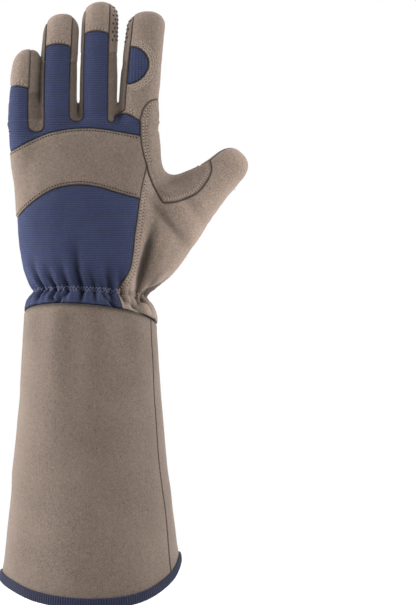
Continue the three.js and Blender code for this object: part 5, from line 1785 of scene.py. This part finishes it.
def finger_dot_rays(finger, pitch, dotted_side):
    """Rays towards the finger's middle line, staggered row by row; beside the tip on one side only."""
    places, aims = [], []
    radius = finger["width"] / 2
    for row, z in enumerate(np.arange(patch_line(finger), finger_top(finger) - 1, pitch * DOT_ROW_STEP)):
        x = finger_x(finger, z)
        y = middle_y(x, z)
        count = int(2 * math.pi * radius / pitch)
        for i in range(count):
            angle = 2 * math.pi * (i + 0.5 * (row % 2)) / count
            bare_side = math.cos(angle) * dotted_side < 0 or z < SIDE_DOTS_FROM
            if bare_side and math.sin(angle) < SIDE_DOTS_REACH:
                continue
            aim = np.array([-math.cos(angle), -math.sin(angle), 0])
            places.append(np.array([x, y, z]) - aim * RAY_LENGTH)
            aims.append(aim)
    return places, aims


def thumb_dot_rays(pitch):
    """Rays straight at the palm side of the thumb's tip."""
    x_tip, _, z_tip = thumb_line()[0][-1, :3]
    columns = np.arange(x_tip + THUMB_DOTS_ACROSS[0], x_tip + THUMB_DOTS_ACROSS[1], pitch * DOT_ROW_STEP)
    rows = np.arange(z_tip + THUMB_DOTS_UP[0], z_tip + THUMB_DOTS_UP[1], pitch)
    places = [(x, 2 * RAY_LENGTH, z + pitch / 2 * (i % 2)) for i, x in enumerate(columns) for z in rows]
    return places, [(0, -1, 0)] * len(places)


HEM_LINE = spline([(-25, 0.34), *HEM, (390, -0.04)])


def cuff_places(turn, share, out, fold_share=1.0):
    """Places on the cuff: degrees round it, share of the way down, and distance out."""
    angle = np.radians(turn)
    c, s = np.cos(angle), np.sin(angle)
    spread = share**CUFF_CURVE
    top = cuff_seam_at(c, s) - SEAM_GAP / 2
    z = lerp(top, -HEM_DROP * HEM_LINE(turn % 360), share)
    down = share * CUFF_HEIGHT
    fold = 0
    for at, deep, wide, reach in CUFF_FOLDS:
        across = np.exp(-((degrees_between(turn, at) / wide) ** 2))
        fold = fold + deep * across * np.maximum(0, 1 - down / reach) ** CUFF_FOLD_FADE
    grown = out + fold * smoothstep(down, 0, CUFF_FOLD_FROM) * fold_share
    a = lerp(CUFF_TOP[0], MOUTH[0], spread) / 2 + grown
    b = lerp(CUFF_TOP[1], MOUTH[1], spread) / 2 + grown
    places = np.stack([a * c, b * s, z], axis=-1)
    soft = sum(amount * noise(places.reshape(-1, 3), size, seed) for amount, size, seed in CUFF_UNEVEN)
    from_top, from_hem = CUFF_UNEVEN_FROM
    soft = soft.reshape(z.shape) * smoothstep(down, 0, from_top) * smoothstep(CUFF_HEIGHT - down, 0, from_hem)
    places[..., 0] += c * soft
    places[..., 1] += s * soft
    return places


def cuff_panel(name, start, end):
    """One half of the cuff, between its two side seams, as a closed wall."""
    reach = 57.3 / (MOUTH[0] / 2)
    fine = np.array(CUFF_SIDE_STEPS) * reach
    first, last = start + CUFF_SEAM_EDGE * reach, end - CUFF_SEAM_EDGE * reach
    even = np.arange(start + CUFF_TURN_MARGIN, end - CUFF_TURN_MARGIN, CUFF_TURN_STEP)
    turn = np.r_[first + fine, even, last - fine[::-1]]
    share = np.r_[np.array(CUFF_TOP_STEPS) / CUFF_HEIGHT, np.linspace(CUFF_ROWS_FROM, 1, CUFF_ROWS)]
    turn, share = np.meshgrid(turn, share)
    # The rolled edges sink, and their seam value is painted shade into them.
    edges = [(np.minimum(turn - start, end - turn) / reach, CUFF_SIDE_ROLL, CUFF_SIDE_SHADE),
             (share * CUFF_HEIGHT, CUFF_TOP_ROLL, CUFF_TOP_SHADE)]
    sink, seam = 0, 0
    for inwards, (wide, deep), shade in edges:
        sink = sink + deep * rolled(np.clip(1 - inwards / wide, 0, 1))
        seam = seam + np.exp(-((inwards / shade) ** 2))
    outer = cuff_places(turn, share, -sink)
    inner = cuff_places(turn, share, np.full_like(share, -CUFF_WALL))
    triangles = grid_triangles(*turn.shape)[:, ::-1]
    points, faces = closed_shell(outer.reshape(-1, 3), inner.reshape(-1, 3), triangles)
    seam = np.clip(seam, 0, 1).ravel()
    piece = add_mesh(f"{name}_cloth", points, faces, finish_of("cuff_suede"), None, np.r_[seam, seam * 0])
    return dress(piece, "cuff_suede", name)


def binding_piece():
    """The ribbed tape folded over the hem."""
    section = np.array(BINDING_SECTION)
    rib = sizes().binding_rib / MM
    ribs = int(round(math.pi * (MOUTH[0] + MOUTH[1]) / 2 / rib))
    turn = np.linspace(0, 360, ribs * RIB_STEPS, endpoint=False)
    turn, row = np.meshgrid(turn, np.arange(len(section)))
    above, out, drop = (section[row, k] for k in range(3))
    ridge = np.cos(np.radians(turn) * ribs)
    shown, fold = ((row >= first) & (row <= last) for first, last in (BINDING_SHOWN, BINDING_FOLD))
    sign = np.where(row <= BINDING_OUTER, 1, -1)
    out = out + shown * sign * RIB_HEIGHT * ridge
    places = cuff_places(turn, 1 - above / CUFF_HEIGHT, out, 0.0)
    places[..., 2] -= drop + np.where(fold, RIB_DROP * ridge, 0)
    triangles = grid_triangles(*turn.shape, True, True)[:, ::-1]
    # Painted shade in the hollows between the ribs, carried as the seam value.
    painted_valley_shade = np.clip(0.5 - 0.5 * ridge, 0, 1) * shown
    tape_finish = finish_of("binding_tape")
    piece = add_mesh("hem_binding_tape", places.reshape(-1, 3), triangles, tape_finish, None, painted_valley_shade.ravel())
    return dress(piece, "binding_tape", "hem_binding")


class GAUNTLET_OT_stage(bpy.types.Operator):
    """Camera, soft lights and the pale floor"""

    bl_idname = "gauntlet.stage"
    bl_label = "Stage"

    def execute(self, context):
        scene = context.scene
        scene.view_settings.view_transform = "Standard"
        tall = IMAGE["height"] * IMAGE["mm"] * MM
        camera = bpy.data.cameras.new("camera")
        camera.lens, camera.sensor_fit, camera.sensor_height = LENS, "VERTICAL", SENSOR
        eye = new_object("camera", camera)
        across = (IMAGE["width"] / 2 - IMAGE["middle_x"]) * IMAGE["mm"] * MM
        height = (IMAGE["mouth_y"] - IMAGE["height"] / 2) * IMAGE["mm"] * MM
        eye.location = (across, -tall * LENS / SENSOR, height)
        eye.rotation_euler = (math.pi / 2, 0, 0)
        scene.camera = eye
        self.sky(scene)
        for name, (place, wide, power) in LAMPS.items():
            lamp = bpy.data.lights.new(name, "AREA")
            lamp.size, lamp.energy = wide, power
            holder = new_object(name, lamp)
            holder.location = place
            holder.rotation_euler = (LAMP_AIM - Vector(place)).to_track_quat("-Z", "Y").to_euler()
        self.floor()
        return {"FINISHED"}

    def sky(self, scene):
        """White all round where it is seen, and dimmer as a light."""
        world = bpy.data.worlds.new("studio")
        world.use_nodes = True
        nodes, links = world.node_tree.nodes, world.node_tree.links
        seen = nodes.new("ShaderNodeLightPath")
        strength = nodes.new("ShaderNodeMix")
        strength.inputs[2].default_value, strength.inputs[3].default_value = SKY_LIGHT, 1.0
        links.new(seen.outputs["Is Camera Ray"], strength.inputs[0])
        links.new(strength.outputs[0], nodes["Background"].inputs["Strength"])
        nodes["Background"].inputs["Color"].default_value = (1, 1, 1, 1)
        scene.world = world

    def floor(self):
        """A round floor, as triangles round its middle point."""
        turn = np.linspace(0, 2 * math.pi, FLOOR_SECTORS, endpoint=False)
        rim = FLOOR_REACH * np.cos(turn), FLOOR_REACH * np.sin(turn), np.full_like(turn, FLOOR_HEIGHT)
        points = np.vstack([np.c_[rim], (0, 0, FLOOR_HEIGHT)])
        around = np.arange(FLOOR_SECTORS)
        triangles = np.c_[np.full_like(around, FLOOR_SECTORS), around, np.roll(around, -1)]
        add_mesh("floor", points, triangles, plain("floor", colours().floor, FLOOR_ROUGHNESS))


class GAUNTLET_OT_panels(bpy.types.Operator):
    """Sewn panels of the hand, fingers and thumb"""

    bl_idname = "gauntlet.panels"
    bl_label = "Panels"

    def execute(self, context):
        for name, panel in Glove.cut().panels.items():
            slot = PANELS[name][0]
            dress(panel.build(f"{name}_cloth", finish_of(slot)), slot, name)
        return {"FINISHED"}


class GAUNTLET_OT_palm_patch(bpy.types.Operator):
    """Second layer that reinforces the palm"""

    bl_idname = "gauntlet.palm_patch"
    bl_label = "Palm patch"

    def execute(self, context):
        piece = Glove.cut().patch.build("palm_patch_cloth", finish_of("palm_suede"))
        dress(piece, "palm_suede", "palm_patch")
        return {"FINISHED"}


class GAUNTLET_OT_cuff(bpy.types.Operator):
    """The two halves of the cuff"""

    bl_idname = "gauntlet.cuff"
    bl_label = "Cuff"

    def execute(self, context):
        cuff_panel("cuff_back", LITTLE_SIDE_SEAM, THUMB_SIDE_SEAM + 360)
        cuff_panel("cuff_palm", THUMB_SIDE_SEAM, LITTLE_SIDE_SEAM)
        return {"FINISHED"}


class GAUNTLET_OT_binding(bpy.types.Operator):
    """Ribbed tape round the hem"""

    bl_idname = "gauntlet.binding"
    bl_label = "Hem binding"

    def execute(self, context):
        binding_piece()
        return {"FINISHED"}


class GAUNTLET_OT_stitches(bpy.types.Operator):
    """Stitch rows along the seams, with their needle holes"""

    bl_idname = "gauntlet.stitches"
    bl_label = "Stitches"

    def execute(self, context):
        size = sizes()
        shade = colours()
        pale = thread("suede_thread", shade.suede_thread)
        dark = thread("needle_hole", shade.hole, 0.9)
        pitch = size.stitch_pitch / MM
        groups = dict(Glove.cut().panels, palm_patch=Glove.patch)
        kinds = {"run": (pitch, size.stitch_length, pale),
                 "dash": (pitch * DASH_PITCH, size.stitch_length * DASH_LENGTH, dark),
                 "zigzag": (ZIGZAG_PITCH, ZIGZAG_LENGTH, pale),
                 "ladder": (LADDER_PITCH, LADDER_LENGTH, pale)}
        width = size.thread_width
        for name, panel in groups.items():
            slot = "palm_suede" if name == "palm_patch" else PANELS[name][0]
            for kind, (step, length, colour) in kinds.items():
                stitches, holes = stitch_rows(panel, kind, step)
                if not stitches:
                    continue
                bead = (length, width, width * THREAD_FLATNESS)
                dress(beads(f"{name}_{kind}_stitches", np.vstack(stitches), bead, colour), slot)
                if kind == "run":
                    # Needle holes are dark beads on the cloth: painted shade where the thread goes in.
                    bead = (width, width, width * HOLE_DEPTH)
                    dress(beads(f"{name}_needle_holes", np.vstack(holes), bead, dark, 6), slot)
        return {"FINISHED"}


class GAUNTLET_OT_elastic(bpy.types.Operator):
    """Zigzag thread over the elastic that gathers the wrist"""

    bl_idname = "gauntlet.elastic"
    bl_label = "Elastic stitching"

    def execute(self, context):
        shade = colours()
        materials = {"back_knit": thread("knit_thread", shade.knit_thread),
                     "palm_suede": bpy.data.materials["suede_thread"]}
        runs = [elastic_rows(Glove.cut().panels, lead) for lead in ELASTIC_RUNS]
        for slot, material in materials.items():
            wanted = slot == "back_knit"
            rows = np.vstack([rows[(names == "back_panel") == wanted] for rows, names in runs])
            dress(beads(f"elastic_zigzag_{slot}", rows, ELASTIC_BEAD, material), slot)
        return {"FINISHED"}


class GAUNTLET_OT_grip_dots(bpy.types.Operator):
    """Small raised grip dots on the index, middle and thumb tips"""

    bl_idname = "gauntlet.grip_dots"
    bl_label = "Grip dots"

    def execute(self, context):
        size = sizes()
        rubber = thread("dot_rubber", colours().dot, 0.55)
        pitch = size.dot_pitch / MM
        for name in ("index", "middle", "thumb"):
            if name == "thumb":
                rays, facing = thumb_dot_rays(pitch), THUMB_DOTS_FACING
            else:
                rays = finger_dot_rays(FINGERS[name], pitch, DOTTED_SIDES[name])
                facing = FINGER_DOTS_FACING
            rows = dot_rows(Glove.cut().panels[f"{name}_grip_patch"], *rays, facing)
            if not len(rows):
                raise RuntimeError(f"no grip dots met the {name} patch")
            bead = (size.dot_width, size.dot_width, size.dot_width * DOT_HEIGHT)
            dress(beads(f"{name}_grip_dots", rows, bead, rubber, 10), "dotted_suede")
        return {"FINISHED"}


OPERATORS = (GAUNTLET_OT_stage, GAUNTLET_OT_panels, GAUNTLET_OT_palm_patch, GAUNTLET_OT_cuff,
             GAUNTLET_OT_binding, GAUNTLET_OT_stitches, GAUNTLET_OT_elastic, GAUNTLET_OT_grip_dots)


class GAUNTLET_PT_panel(bpy.types.Panel):
    """Sizes, colours and steps of the gauntlet"""

    bl_idname = "GAUNTLET_PT_panel"
    bl_label = "Gauntlet"
    bl_space_type = "VIEW_3D"
    bl_region_type = "UI"
    bl_category = "Gauntlet"

    def draw(self, context):
        for group in (context.scene.gauntlet_sizes, context.scene.gauntlet_colours):
            for name in group.__annotations__:
                self.layout.prop(group, name)
        for operator in OPERATORS:
            self.layout.operator(operator.bl_idname)


CLASSES = (GauntletSizes, GauntletColours, *OPERATORS, GAUNTLET_PT_panel)


def register():
    for cls in CLASSES:
        bpy.utils.register_class(cls)
    bpy.types.Scene.gauntlet_sizes = bpy.props.PointerProperty(type=GauntletSizes)
    bpy.types.Scene.gauntlet_colours = bpy.props.PointerProperty(type=GauntletColours)


def unregister():
    del bpy.types.Scene.gauntlet_sizes
    del bpy.types.Scene.gauntlet_colours
    for cls in reversed(CLASSES):
        bpy.utils.unregister_class(cls)


def main():
    register()
    bpy.ops.gauntlet.stage()
    bpy.ops.gauntlet.panels()
    bpy.ops.gauntlet.palm_patch()
    bpy.ops.gauntlet.cuff()
    bpy.ops.gauntlet.binding()
    bpy.ops.gauntlet.stitches()
    bpy.ops.gauntlet.elastic()
    bpy.ops.gauntlet.grip_dots()


if __name__ == "__main__":
    main()
